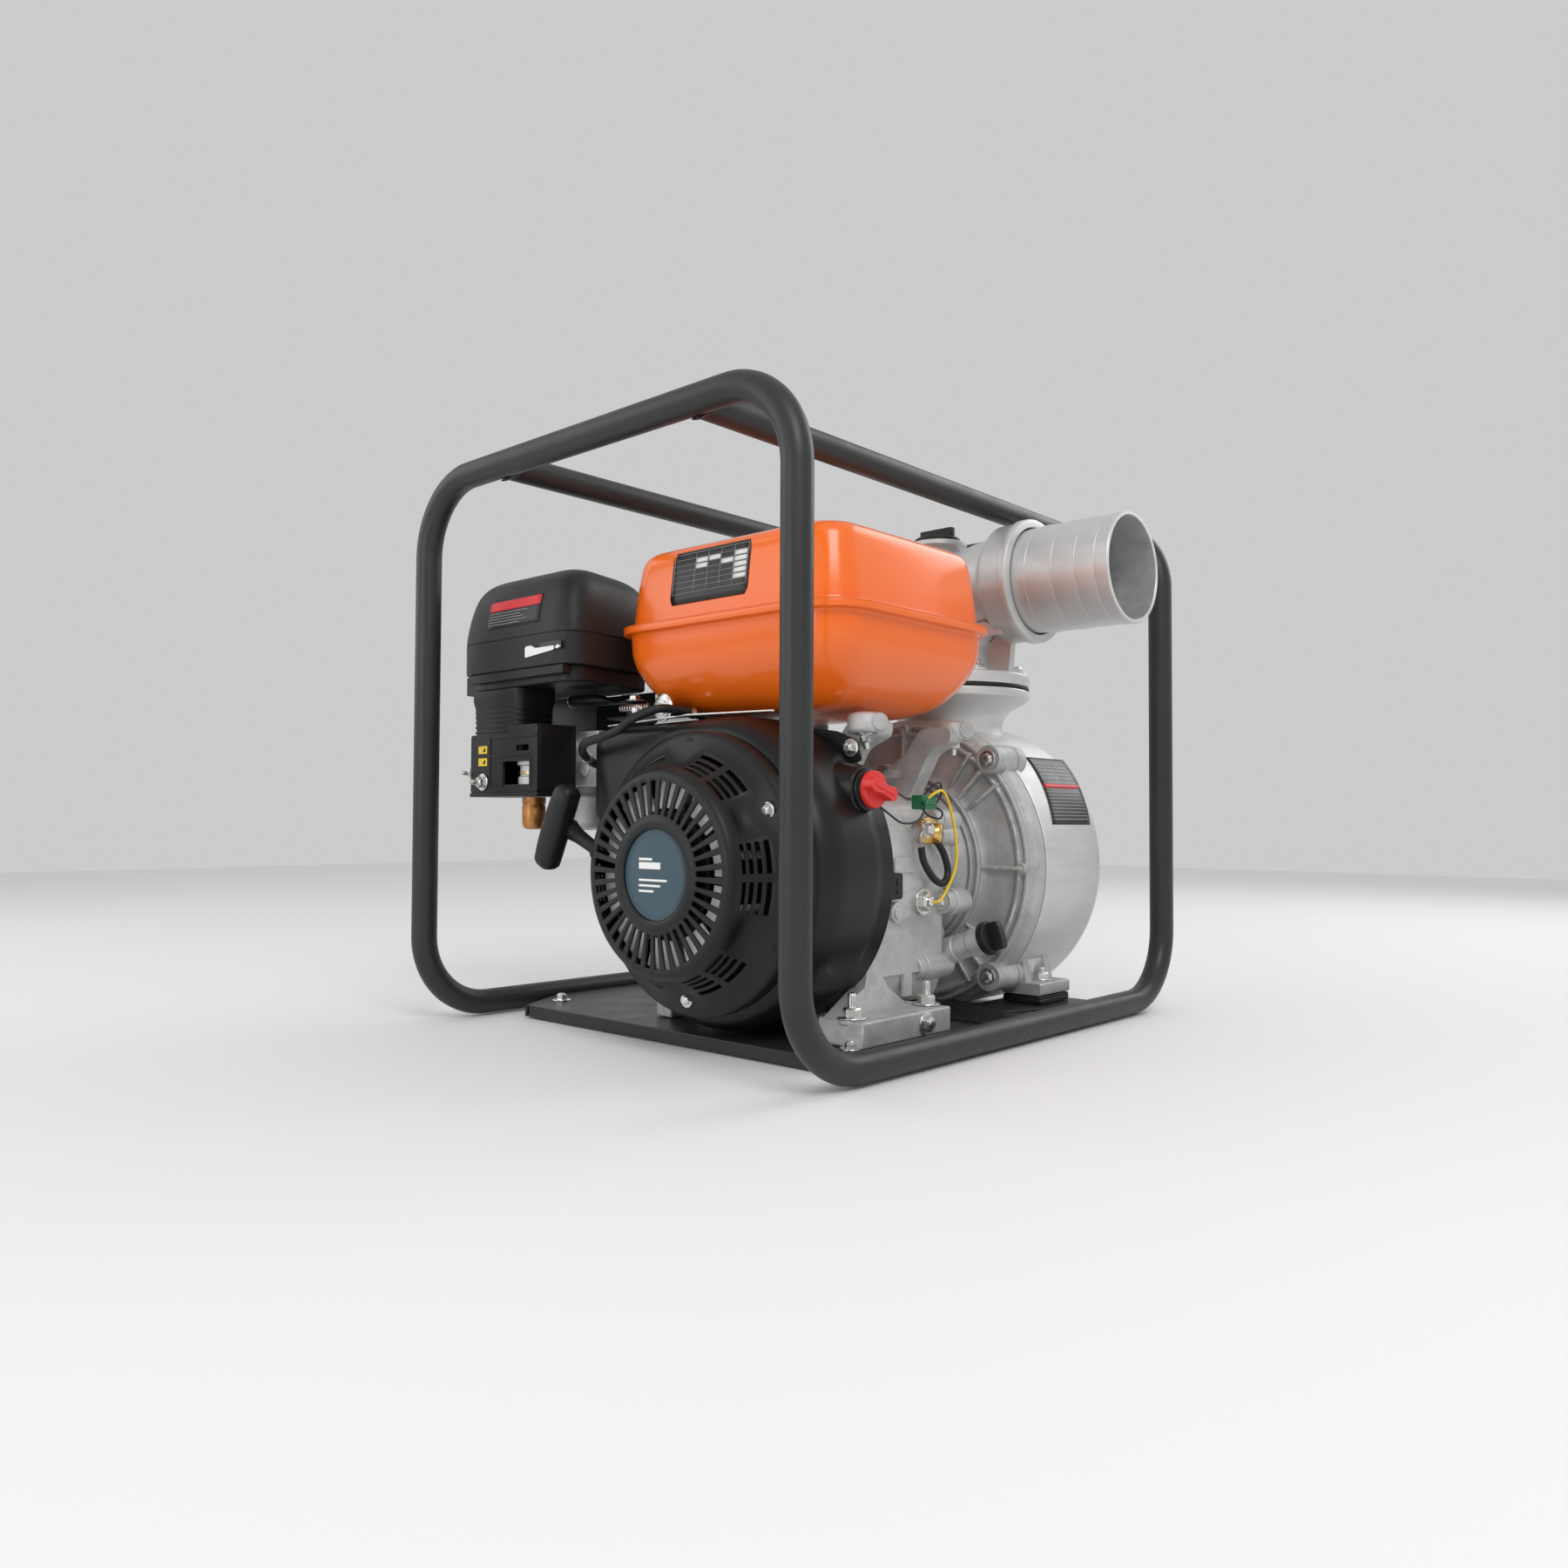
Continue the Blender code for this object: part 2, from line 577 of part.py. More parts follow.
# ---- cooling shroud and starter ----------------------------------------------------
def build_shroud():
    def outline(inset):
        radius = SHROUD_R - inset
        ring = arc((CRANK_X, CRANK_Z), radius, -172, 84, 24)
        duct = arc((-0.074 + inset, 0.2705 - inset), 0.012, 95, 180, 3)
        duct += arc((-0.074 + inset, 0.196 + inset), 0.012, 180, 240, 3)
        return ring + duct
    y0, y1 = SHROUD_Y
    shroud = plate("fan_shroud", [outline(0)], "Y", y0, y1, "black_paint")
    switch_boss = box("switch_boss", (0.140, -0.168, 0.202), (SWITCH.x, -0.1285, 0.241))
    join(shroud, switch_boss)
    hollow = plate("shroud_space", [outline(0.003)], "Y", y0 + 0.003, y1 + 0.01)
    inlet = crank_rod("shroud_inlet", y0 - 0.01, y0 + 0.02, 0.096, sides=24)
    cut(shroud, hollow, inlet)


SWITCH = Vector((0.1875, -0.148, 0.2213))   # face of the switch's boss


def build_starter():
    face = DISC_Y
    seat = SHROUD_Y[0] - GAP
    outside = [(0, face), (0.041, face), (0.043, face + 0.0015), (0.080, face + 0.0025),
               (0.0845, face + 0.006), (0.092, face + 0.022), (0.104, face + 0.036),
               (0.1165, face + 0.0415), (0.118, face + 0.043), (0.118, seat)]
    inside = [(0.1000, seat), (0.0990, face + 0.040), (0.0885, face + 0.022), (0.081, face + 0.009),
              (0.078, face + 0.0055), (0.0075, face + 0.0055), (0.0075, face + 0.028),
              (0, face + 0.028)]
    cover = crank_turned("recoil_cover", outside + inside, "black_plastic", steps=24)
    mouth = PULL_MOUTH
    guide = rod("rope_guide", mouth - PULL * 0.022, mouth, 0.0095, end_radius=0.008, sides=16)
    guide_hole = rod("rope_hole", mouth - PULL * 0.040, mouth + PULL * 0.01, 0.0035, sides=12)
    join(cover, guide)
    cut(cover, guide_hole)
    reel_y = PULL_MOUTH.y
    crank_turned("starter_reel", [(0.0079, reel_y - 0.0105), (0.052, reel_y - 0.0105),
                                  (0.052, reel_y - 0.0075), (REEL_R, reel_y - 0.005),
                                  (REEL_R, reel_y + 0.005), (0.052, reel_y + 0.0075),
                                  (0.052, reel_y + 0.0100), (0.0079, reel_y + 0.0100)],
                 "black_plastic", steps=24)
    build_pull_handle()


PULL = Vector((-0.907, 0, 0.421)).normalized()   # way the starter rope is pulled
PULL_MOUTH = Vector((-0.0355, -0.2480, 0.1690))
REEL_R = 0.042


def build_pull_handle():
    """T grip with its rope stem, sliding out along PULL."""
    root = PULL_MOUTH + PULL * 0.0006
    stem = rod("recoil_handle", root, root + PULL * 0.041, 0.0055, "black_plastic",
               end_radius=0.008, sides=16)
    across = Vector((PULL.z, 0, -PULL.x))
    middle = root + PULL * 0.048 + Vector((0, -0.0105, 0))
    outline = []
    for u, v in rounded([(-0.040, -0.012), (0.040, -0.012), (0.037, 0.010), (-0.037, 0.010)],
                        0.007, 3):
        spot = middle + across * u + PULL * v
        outline.append((spot.x, spot.z))
    grip = plate("pull_grip", [outline], "Y", middle.y - 0.0115, middle.y + 0.0115)
    add_bevel(grip, 0.005)
    join(stem, grip)


def build_switch():
    turned("switch_body", [(0, GAP), (0.0165, GAP), (0.0165, 0.003), (0.0145, 0.0045), (0, 0.0045)],
           SWITCH, (1, 0, 0), "black_plastic", steps=20)
    base = SWITCH.x + 0.0050
    knob = rod("engine_switch_knob", (base, SWITCH.y, SWITCH.z), (base + 0.006, SWITCH.y, SWITCH.z),
               0.0150, "red_plastic", end_radius=0.0140, sides=18)
    grip = box("switch_grip", (base + 0.004, SWITCH.y - 0.0165, SWITCH.z - 0.0045),
               (base + 0.0150, SWITCH.y + 0.0165, SWITCH.z + 0.0045), bevel=0.002)
    join(knob, grip)


# ---- fuel tank --------------------------------------------------------------------
def tank_ring(inset_x, inset_y, z, corner):
    spots = round_rect((TANK_MID.x, TANK_MID.y), TANK_HALF[0] - inset_x, TANK_HALF[1] - inset_y,
                       corner, 3)
    return [(x, y, z) for x, y in spots]


def build_tank():
    lip = TANK_MID.z
    wall = 0.0016
    upper = [tank_ring(0, 0, lip + GAP / 2 + wall, 0.045), tank_ring(0.0085, 0.0085, lip + 0.0032, 0.028),
             tank_ring(0.0105, 0.0105, lip + 0.0075, 0.028), tank_ring(0.0150, 0.0145, lip + 0.035, 0.028),
             tank_ring(0.0205, 0.0190, lip + 0.057, 0.028), tank_ring(0.0285, 0.0270, lip + 0.0665, 0.026),
             tank_ring(0.0500, 0.0450, lip + 0.0735, 0.024), tank_ring(0.0850, 0.0750, lip + 0.0795, 0.020),
             tank_ring(0.1200, 0.1040, lip + 0.0825, 0.010)]
    top = loft("fuel_tank_upper", upper, "tank_orange", wall)
    mouth = rod("filler_mouth", (FUEL_CAP.x, FUEL_CAP.y, lip + 0.05),
                (FUEL_CAP.x, FUEL_CAP.y, lip + 0.12), 0.0200)
    cut(top, mouth)
    lower = [tank_ring(0, 0, lip - GAP / 2 - wall, 0.045), tank_ring(0.007, 0.007, lip - 0.0032, 0.038),
             tank_ring(0.0080, 0.0080, lip - 0.020, 0.036), tank_ring(0.0165, 0.0160, lip - 0.045, 0.036),
             tank_ring(0.0295, 0.0290, lip - 0.065, 0.034), tank_ring(0.0515, 0.0490, lip - 0.0785, 0.032),
             tank_ring(0.0815, 0.0740, lip - 0.0822, 0.026), tank_ring(0.1000, 0.0900, lip - 0.0828, 0.018)]
    loft("fuel_tank_lower", [ring[::-1] for ring in lower], "tank_orange", wall)
    seat = FUEL_CAP
    cap = turned("fuel_cap", [(0, -0.010), (0.0180, -0.010), (0.0180, 0.0), (0.0285, 0.0),
                              (0.0300, 0.003), (0.0300, 0.013), (0.0270, 0.0165), (0, 0.0175)],
                 seat, (0, 0, 1), "black_plastic", steps=20)
    lift = box("fuel_cap_grip", (seat.x - 0.026, seat.y - 0.005, seat.z + 0.010),
               (seat.x + 0.026, seat.y + 0.005, seat.z + 0.0215), bevel=0.002)
    join(cap, lift)


FUEL_CAP = Vector((0.035, -0.030, TANK_MID.z + 0.0830))


def build_tank_brackets():
    for name, y, ear_y in (("tank_bracket_front", -0.114, -0.120), ("tank_bracket_rear", -0.008, 0.004)):
        outline = [(0.088, 0.2328), (0.1046, 0.2328), (0.1340, 0.2150), (0.156, 0.262), (0.183, 0.270),
                   (0.183, 0.280), (0.150, 0.280), (0.128, 0.250)]
        arm = plate(name, [outline], "Y", y - 0.010, y + 0.010, "cast_aluminium")
        ear = rod(name + "_ear", (0.170, ear_y, 0.2695), (0.170, ear_y, 0.2885), 0.0155, sides=20)
        join(arm, ear)


# ---- intake side ------------------------------------------------------------------
def cleaner_outline(inset):
    x0, x1, y0, y1 = -0.2512, -0.0655, -0.2555, -0.120
    slant = 0.0225
    corners = [(x1 - inset, y0 + inset), (x1 - slant - inset, y1 - inset),
               (x0 + inset, y1 - inset), (x0 + inset, y0 + inset)]
    return rounded(corners, 0.026 - inset / 2, 4)


def build_air_cleaner():
    base = plate("air_cleaner_base", [cleaner_outline(0.0075)], "Z", 0.3225, 0.3480, "black_plastic")
    snout = box("cleaner_snout", (-0.2505, -0.232, 0.3225), (-0.2300, -0.150, 0.3345))
    throat = rod("cleaner_throat_hole", (-0.160, -0.190, 0.31), (-0.160, -0.190, 0.36), 0.014)
    join(base, snout)
    cut(base, throat)
    rings = []
    for inset, z in ((0, 0.3385), (0, 0.3675), (0.0010, 0.3680), (0.0040, 0.395), (0.0110, 0.418),
                     (0.0230, 0.4305), (0.0420, 0.4350), (0.0580, 0.4360)):
        rings.append([(x, y, z) for x, y in cleaner_outline(inset)])
    loft("air_cleaner_cover", [ring[::-1] for ring in rings[::-1]][::-1], "black_plastic", 0.0022)
    outer = round_rect((-0.160, -0.190), 0.068, 0.044, 0.026, 4)
    inner = round_rect((-0.160, -0.190), 0.050, 0.026, 0.016, 4)
    plate("air_filter_element", [outer, inner], "Z", 0.3484, 0.4080, "foam")


def build_carburettor():
    box_front, box_back = -0.2385, -0.196
    outline = [(-0.2395, 0.2175), (-0.128, 0.2175), (-0.128, 0.2225), (-0.178, 0.2225),
               (-0.178, 0.270), (-0.150, 0.280), (-0.088, 0.280), (-0.088, 0.3221), (-0.2395, 0.3221)]
    elbow = plate("intake_elbow", [outline[::-1]], "Y", box_front, box_back, "black_plastic")
    duct = rod("intake_duct_hole", (-0.160, -0.2150, 0.295), (-0.160, -0.2150, 0.34), 0.012)
    port = rod("intake_port_hole", (-0.160, -0.2200, 0.300), (-0.160, -0.18, 0.300), 0.010)
    cut(elbow, duct, port)
    body = box("carburetor", (-0.190, -0.188, 0.226), (-0.108, -0.140, 0.284), "cast_aluminium",
               bevel=0.004)
    throat = rod("carburetor_throat", (-0.150, box_back + GAP, 0.262), (-0.150, -0.160, 0.262), 0.0185)
    flange = rod("manifold_flange", (-0.118, -0.150, 0.247), (-0.118, -0.1165, 0.247), 0.0190)
    bowl = turned("carburetor_bowl", [(0, 0.185), (0.022, 0.185), (0.0265, 0.189), (0.0265, 0.214),
                                      (0.029, 0.214), (0.029, 0.219), (0.020, 0.230), (0, 0.230)],
                  (-0.158, -0.160, 0), (0, 0, 1), steps=20)
    join(body, throat, flange, bowl)
    cut(body, rod("carburetor_bore", (-0.150, -0.22, 0.262), (-0.118, -0.135, 0.247), 0.0110),
        rod("manifold_bore", (-0.118, -0.140, 0.247), (-0.118, -0.10, 0.247), 0.0105))
    turned("fuel_strainer_cup", [(0, 0.1860), (0.0060, 0.1860), (0.0115, 0.190), (0.0115, 0.2166),
                                 (0, 0.2166)],
           (-0.157, -0.227, 0), (0, 0, 1), "bronze", steps=20)
    for name, z in (("choke_lever", 0.274), ("fuel_valve_lever", 0.252)):
        lever = rod(name, (-0.2399, -0.203, z), (-0.2480, -0.203, z), 0.0055, "black_plastic", sides=16)
        arm = box(name + "_arm", (-0.2478, -0.230, z - 0.0030), (-0.2448, -0.203, z + 0.0030))
        join(lever, arm)


def build_controls():
    plate_z = 0.2905
    pivot = THROTTLE
    bracket = box("control_bracket", (-0.090, -0.1900, plate_z), (0.000, -0.162, plate_z + 0.002),
                  "black_paint")
    fold = box("control_bracket_fold", (-0.090, -0.1640, 0.2850), (0.000, -0.162, plate_z + 0.0018))
    leg = box("control_bracket_leg", (-0.050, -0.186, 0.2838), (-0.030, -0.164, plate_z + 0.001))
    post = rod("throttle_post", (pivot.x, pivot.y, plate_z), (pivot.x, pivot.y, pivot.z - GAP), 0.0070)
    join(bracket, fold, leg, post)
    tip = Vector((-0.150, -0.1885, pivot.z))
    way = (tip - pivot).normalized()
    side = Vector((way.y, -way.x, 0))
    flat = [pivot + side * s + way * d for d, s in ((-0.008, 0.007), (-0.008, -0.007), (0.020, -0.007),
                                                    (0.045, -0.004), (0.045, 0.004), (0.020, 0.007))]
    lever = plate("throttle_lever", [[(p.x, p.y) for p in flat]], "Z", pivot.z, pivot.z + 0.003,
                  "black_paint")
    handle = tube_mesh("throttle_handle", [pivot + way * 0.040 + Vector((0, 0, 0.0045)),
                                           tip + Vector((0, 0, 0.0045))], 0.0058, resolution=3)
    join(lever, handle)


THROTTLE = Vector((-0.068, -0.178, 0.3060))


def build_exhaust():
    low, high = Vector((-0.225, -0.052, 0.303)), Vector((-0.092, 0.078, 0.368))
    muffler = box("muffler", low, high, "steel")
    add_bevel(muffler, 0.014, 3)
    port = along_cylinder(0.188, 0, 0.0)
    pipe = tube_mesh("exhaust_pipe", bent([(port.x, CYL_Y + 0.0555 + GAP, port.z), (port.x, 0.032, port.z),
                                           (-0.135, 0.032, 0.335)], 0.018, 5), 0.013, resolution=3)
    tail = rod("exhaust_tail", (-0.190, 0.060, 0.336), (-0.190, 0.105, 0.336), 0.0110, sides=16)
    join(muffler, pipe, tail)
    tail_hole = rod("exhaust_tail_hole", (-0.190, 0.070, 0.336), (-0.190, 0.12, 0.336), 0.0090, sides=16)
    cut(muffler, tail_hole)
    skin = 0.0015
    x0, x1, z0, z1 = -0.233, -0.0845, 0.318, 0.378
    hood = rounded([(x0, z0), (x1, z0), (x1, z1), (x0, z1)], 0.012, 3)
    inner = rounded([(x0 + skin, z0 - 0.02), (x1 - skin, z0 - 0.02), (x1 - skin, z1 - skin),
                     (x0 + skin, z1 - skin)], 0.011, 3)
    guard = plate("muffler_guard", [hood], "Y", -0.056, 0.080, "steel")
    room = plate("muffler_room", [inner], "Y", -0.07, 0.09)
    cut(guard, room)


def build_hose():
    route = smooth_route([(-0.1060, -0.1880, 0.2480), (-0.100, -0.2020, 0.2500), (-0.092, -0.2200, 0.2580),
                          (-0.076, -0.2300, 0.2655), (-0.050, -0.2320, 0.2700), (-0.026, -0.2320, 0.2760),
                          (-0.010, -0.2290, 0.2850), (0.006, -0.2150, 0.2935), (0.012, -0.194, 0.2935),
                          (0.020, -0.170, 0.2890)], per_span=3)
    tube("fuel_hose", route, 0.0040, "rubber", resolution=2)


# ---- pump --------------------------------------------------------------------------
def build_adapter():
    y0, y1 = ADAPTER_Y
    profile = [(SHAFT_R + 0.003, y0), (0.064, y0), (0.064, y0 + 0.012), (0.080, y0 + 0.024),
               (0.084, y0 + 0.034), (0.126, y0 + 0.042), (0.132, y0 + 0.046), (PUMP_RIM_R, y0 + 0.050),
               (PUMP_RIM_R, y1), (0.0245, y1), (0.0245, y1 - 0.014), (SHAFT_R + 0.003, y1 - 0.014)]
    adapter = crank_turned("pump_adapter", profile, "cast_aluminium", steps=24)
    bosses = []
    for i, angle in enumerate((45, 135, 225, 315)):
        x = CRANK_X + 0.1505 * math.cos(math.radians(angle))
        z = CRANK_Z + 0.1505 * math.sin(math.radians(angle))
        bosses.append(rod(f"adapter_boss_{i}", (x, y0 + 0.036, z), (x, y1, z), 0.0135, sides=10))
    join(adapter, *bosses)
    crank_turned("mechanical_seal", [(SHAFT_R + GAP, y1 - 0.0136), (0.0240, y1 - 0.0136),
                                     (0.0240, y1 - 0.004), (0.0190, y1 + 0.001),
                                     (SHAFT_R + GAP, y1 + 0.001)], "rubber", steps=20)


def build_casing():
    y0, y1 = PUMP_Y
    corner = (0.117, y1 - 0.030)
    casing = crank_turned("pump_casing", [(0, y0), (PUMP_RIM_R, y0), (PUMP_RIM_R, y0 + 0.008),
                                          (PUMP_R, y0 + 0.012)] + arc(corner, 0.030, 0, 90, 4)
                          + [(0, y1)], "cast_aluminium", steps=24)
    neck = turned("outlet_neck", [(0, 0.26), (0.060, 0.26), (0.0560, 0.300), (0.0700, 0.314),
                                  (0.0840, 0.321), (0.0840, 0.334), (0, 0.334)],
                  (OUTLET.x, OUTLET.y, 0), (0, 0, 1), steps=24)
    tools = [neck]
    for side, x in FOOT_X.items():
        tools.append(box(f"foot_{side}", (x - 0.022, 0.106, FOOT_Z), (x + 0.022, 0.164, FOOT_Z + 0.012)))
        inner = x - 0.004 * math.copysign(1, x - CRANK_X)
        tools.append(box(f"foot_web_{side}", (inner - 0.011, 0.112, FOOT_Z), (inner + 0.011, 0.158, 0.085)))
    for i, angle in enumerate((45, 135, 225, 315)):
        x = CRANK_X + 0.1505 * math.cos(math.radians(angle))
        z = CRANK_Z + 0.1505 * math.sin(math.radians(angle))
        tools.append(rod(f"casing_boss_{i}", (x, y0, z), (x, y0 + 0.016, z), 0.0135, sides=10))
    join(casing, *tools)
    inside = crank_turned("casing_space", [(0, y0 - 0.02), (0.1395, y0 - 0.02)]
                          + arc(corner, 0.0225, 0, 90, 3) + [(0, y1 - 0.0075)], steps=24)
    outlet = rod("outlet_hole", (OUTLET.x, OUTLET.y, 0.24), (OUTLET.x, OUTLET.y, 0.35), PORT_R, sides=24)
    suction = rod("suction_hole", (CRANK_X, y1 - 0.03, SUCTION_Z), (CRANK_X, y1 + 0.02, SUCTION_Z),
                  PORT_R - 0.0005, sides=24)
    drain = rod("drain_hole", (CRANK_X, y1 - 0.03, DRAIN_Z), (CRANK_X, y1 + 0.02, DRAIN_Z), 0.0086, sides=20)
    room = box("adapter_room", (OUTLET.x - 0.1, 0.05, 0.20), (OUTLET.x + 0.1, y0, PUMP_RIM_R + CRANK_Z + 0.002))
    cut(casing, inside, outlet, suction, drain, room)
    plug = rod("drain_plug", (CRANK_X, y1 - 0.008, DRAIN_Z), (CRANK_X, y1 + 0.002, DRAIN_Z), 0.0080,
               "steel", sides=20)
    flange = rod("drain_flange", (CRANK_X, y1 + GAP, DRAIN_Z), (CRANK_X, y1 + 0.004, DRAIN_Z), 0.0135,
                 sides=20)
    hexagon = rod("drain_hexagon", (CRANK_X, y1 + 0.003, DRAIN_Z), (CRANK_X, y1 + 0.014, DRAIN_Z), 0.0105,
                  sides=6)
    join(plug, flange, hexagon)


DRAIN_Z = 0.046


def spiral(start_radius, growth, count=24):
    """Volute outline: the radius grows steadily over one turn."""
    spots = []
    for i in range(count):
        angle = math.tau * i / count + math.radians(60)
        radius = start_radius + growth * i / (count - 1)
        spots.append((CRANK_X + radius * math.cos(angle), CRANK_Z + radius * math.sin(angle)))
    return spots


def build_hydraulics():
    y0 = PUMP_Y[0]
    ring = plate("volute", [spiral(0.082, 0.022), spiral(0.076, 0.022)], "Y", y0 + 0.0006, 0.148,
                 "cast_aluminium")
    back = plate("volute_back", [spiral(0.082, 0.022), circle((CRANK_X, CRANK_Z), 0.036)],
                 "Y", 0.143, 0.148)
    join(ring, back)
    disc = crank_turned("impeller", [(SHAFT_R + GAP, y0 + 0.003), (0.066, y0 + 0.003),
                                     (0.066, y0 + 0.0075), (0.024, y0 + 0.0075), (0.024, y0 + 0.026),
                                     (SHAFT_R + GAP, y0 + 0.026)], "cast_aluminium", steps=20)
    blades = []
    for i in range(5):
        spots = []
        for width, order in ((0.0, 1), (0.0045, -1)):
            line = []
            for k in range(5):
                t = k / 4
                radius = 0.0195 + 0.044 * t
                angle = math.tau * i / 5 + math.radians(70) * t + width / radius
                line.append((CRANK_X + radius * math.cos(angle), CRANK_Z + radius * math.sin(angle)))
            spots += line[::order]
        blades.append(plate(f"blade_{i}", [spots], "Y", y0 + 0.0045, y0 + 0.034))
    join(disc, *blades)
    face = PUMP_Y[1] - 0.0075 - GAP
    flap = rod("check_valve_flap", (CRANK_X, face - 0.005, SUCTION_Z), (CRANK_X, face, SUCTION_Z),
               0.0465, "rubber", sides=24)
    tab = box("flap_tab", (CRANK_X - 0.015, face - 0.005, SUCTION_Z + 0.04),
              (CRANK_X + 0.015, face, FLAP_HINGE_Z))
    join(flap, tab)


FLAP_HINGE_Z = SUCTION_Z + 0.0475


def hose_tail(start, end):
    """Profile of a hose tail, with the spigot that seats it at the start."""
    outer = OUTLET_R
    return [(PORT_R, start), (outer - 0.0025, start), (outer - 0.0015, start + 0.020), (outer, end - 0.0015),
            (outer - 0.0006, end), (outer - 0.0032, end), (outer - 0.0042, start + 0.035),
            (PORT_R, start + 0.024)]


def build_outlet():
    ring = [circle((OUTLET.x, OUTLET.y), 0.0835, 24), circle((OUTLET.x, OUTLET.y), PORT_R, 24)]
    plate("outlet_gasket", ring, "Z", 0.334 + GAP, 0.3368, "rubber")
    low = 0.3368 + GAP
    route = bent([(OUTLET.x, OUTLET.y, low + 0.004), tuple(OUTLET), (0.146, OUTLET.y, OUTLET.z)], 0.066, 5)
    elbow = tube_mesh("discharge_elbow", route, 0.0500, "cast_aluminium", resolution=3)
    flange = turned("elbow_flange", [(0, low), (0.084, low), (0.084, low + 0.013), (0.054, low + 0.016),
                                     (0, low + 0.016)], (OUTLET.x, OUTLET.y, 0), (0, 0, 1), steps=24)
    collar = turned("elbow_collar", [(0, 0.132), (0.0520, 0.132), (0.0600, 0.140), (0.0600, 0.161),
                                     (0.0632, 0.162), (0.0632, 0.170), (0.0615, 0.1715), (0, 0.1715)],
                    (0, OUTLET.y, OUTLET.z), (1, 0, 0), steps=24)
    boss = rod("priming_boss", (PRIMING.x, PRIMING.y, 0.393), PRIMING - Vector((0, 0, 0.002)), 0.0240)
    seat = rod("priming_seat", (PRIMING.x, PRIMING.y, PRIMING.z - 0.0055), tuple(PRIMING), 0.0320, sides=28)
    join(elbow, flange, collar, boss, seat)
    inner_route = bent([(OUTLET.x, OUTLET.y, low - 0.02), tuple(OUTLET), (0.2, OUTLET.y, OUTLET.z)], 0.066, 5)
    water = tube_mesh("elbow_space", inner_route, PORT_R - 0.001, resolution=4)
    thread = rod("collar_thread", (0.148, OUTLET.y, OUTLET.z), (0.19, OUTLET.y, OUTLET.z), 0.0540, sides=24)
    hole = rod("priming_hole", (PRIMING.x, PRIMING.y, 0.402), (PRIMING.x, PRIMING.y, 0.51), 0.0160)
    cut(elbow, water, thread, hole)
    turned("discharge_barb", hose_tail(0.1485, MOUTH_X), (0, OUTLET.y, OUTLET.z), (1, 0, 0),
           "cast_aluminium", steps=24)
    cap = turned("priming_cap", [(0, -0.012), (0.0155, -0.012), (0.0155, GAP), (0.0250, GAP),
                                 (0.0250, 0.005), (0.0225, 0.0065), (0, 0.0065)],
                 PRIMING, (0, 0, 1), "black_plastic", steps=20)
    grip = box("priming_grip", (PRIMING.x - 0.0210, PRIMING.y - 0.0045, PRIMING.z + 0.005),
               (PRIMING.x + 0.0210, PRIMING.y + 0.0045, PRIMING.z + 0.0165), bevel=0.0015)
    join(cap, grip)
    flange_end = PUMP_Y[1] + GAP
    profile = hose_tail(flange_end, SUCTION_END)
    profile[1:2] = [(0.0660, flange_end), (0.0660, flange_end + 0.012), (OUTLET_R - 0.0020, flange_end + 0.014)]
    turned("suction_barb", profile, (CRANK_X, 0, SUCTION_Z), (0, 1, 0), "cast_aluminium", steps=24)


PRIMING = Vector((0.0475, 0.155, 0.4975))


# ---- electrical ------------------------------------------------------------------
def build_wiring():
    wall = 0.158
    sensor = Vector((wall + GAP, -0.032, 0.1230))
    turned("oil_level_switch", [(0, 0), (0.0100, 0), (0.0100, 0.006), (0.0060, 0.007), (0.0060, 0.011),
                                (0, 0.011)], sensor, (1, 0, 0), "steel", steps=12)
    end = sensor + Vector((0.0118, 0, 0))
    route = smooth_route([end, end + Vector((0.004, 0.004, 0.001)), (0.1720, -0.012, 0.134),
                          (0.1700, 0.006, 0.155), (0.1680, 0.008, 0.180), (0.1680, -0.002, 0.206),
                          (0.1700, -0.020, 0.222), (0.1720, -0.038, 0.222)], per_span=3)
    tube("yellow_wire", route, 0.0014, "yellow_wire", resolution=2)
    loop = smooth_route([(0.1640, -0.040, 0.172), (0.1650, -0.036, 0.158), (0.1660, -0.024, 0.145),
                         (0.1660, -0.010, 0.140), (0.1655, -0.002, 0.149), (0.1650, -0.006, 0.165),
                         (0.1640, -0.016, 0.178)], per_span=3)
    tube("ground_lead", loop, 0.0034, "rubber", resolution=2)


def build():
    build_frame()
    build_supports()
    build_crankcase()
    build_side_cover()
    build_head()
    build_ignition()
    build_moving_inside()
    build_shroud()
    build_starter()
    build_switch()
    build_tank()
    build_tank_brackets()
    build_air_cleaner()
    build_carburettor()
    build_controls()
    build_exhaust()
    build_hose()
    build_adapter()
    build_casing()
    build_hydraulics()
    build_outlet()
    build_wiring()


clear_scene()
PARTS = new_collection("portable_fire_pump")
CUTTERS = new_collection("cutters")
PIVOT = bpy.data.objects.new("pump_origin", None)
PIVOT.location = ORIGIN_SHIFT
PARTS.objects.link(PIVOT)
build()
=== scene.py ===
import json
import math

import bmesh
import bpy
from mathutils import Matrix, Vector


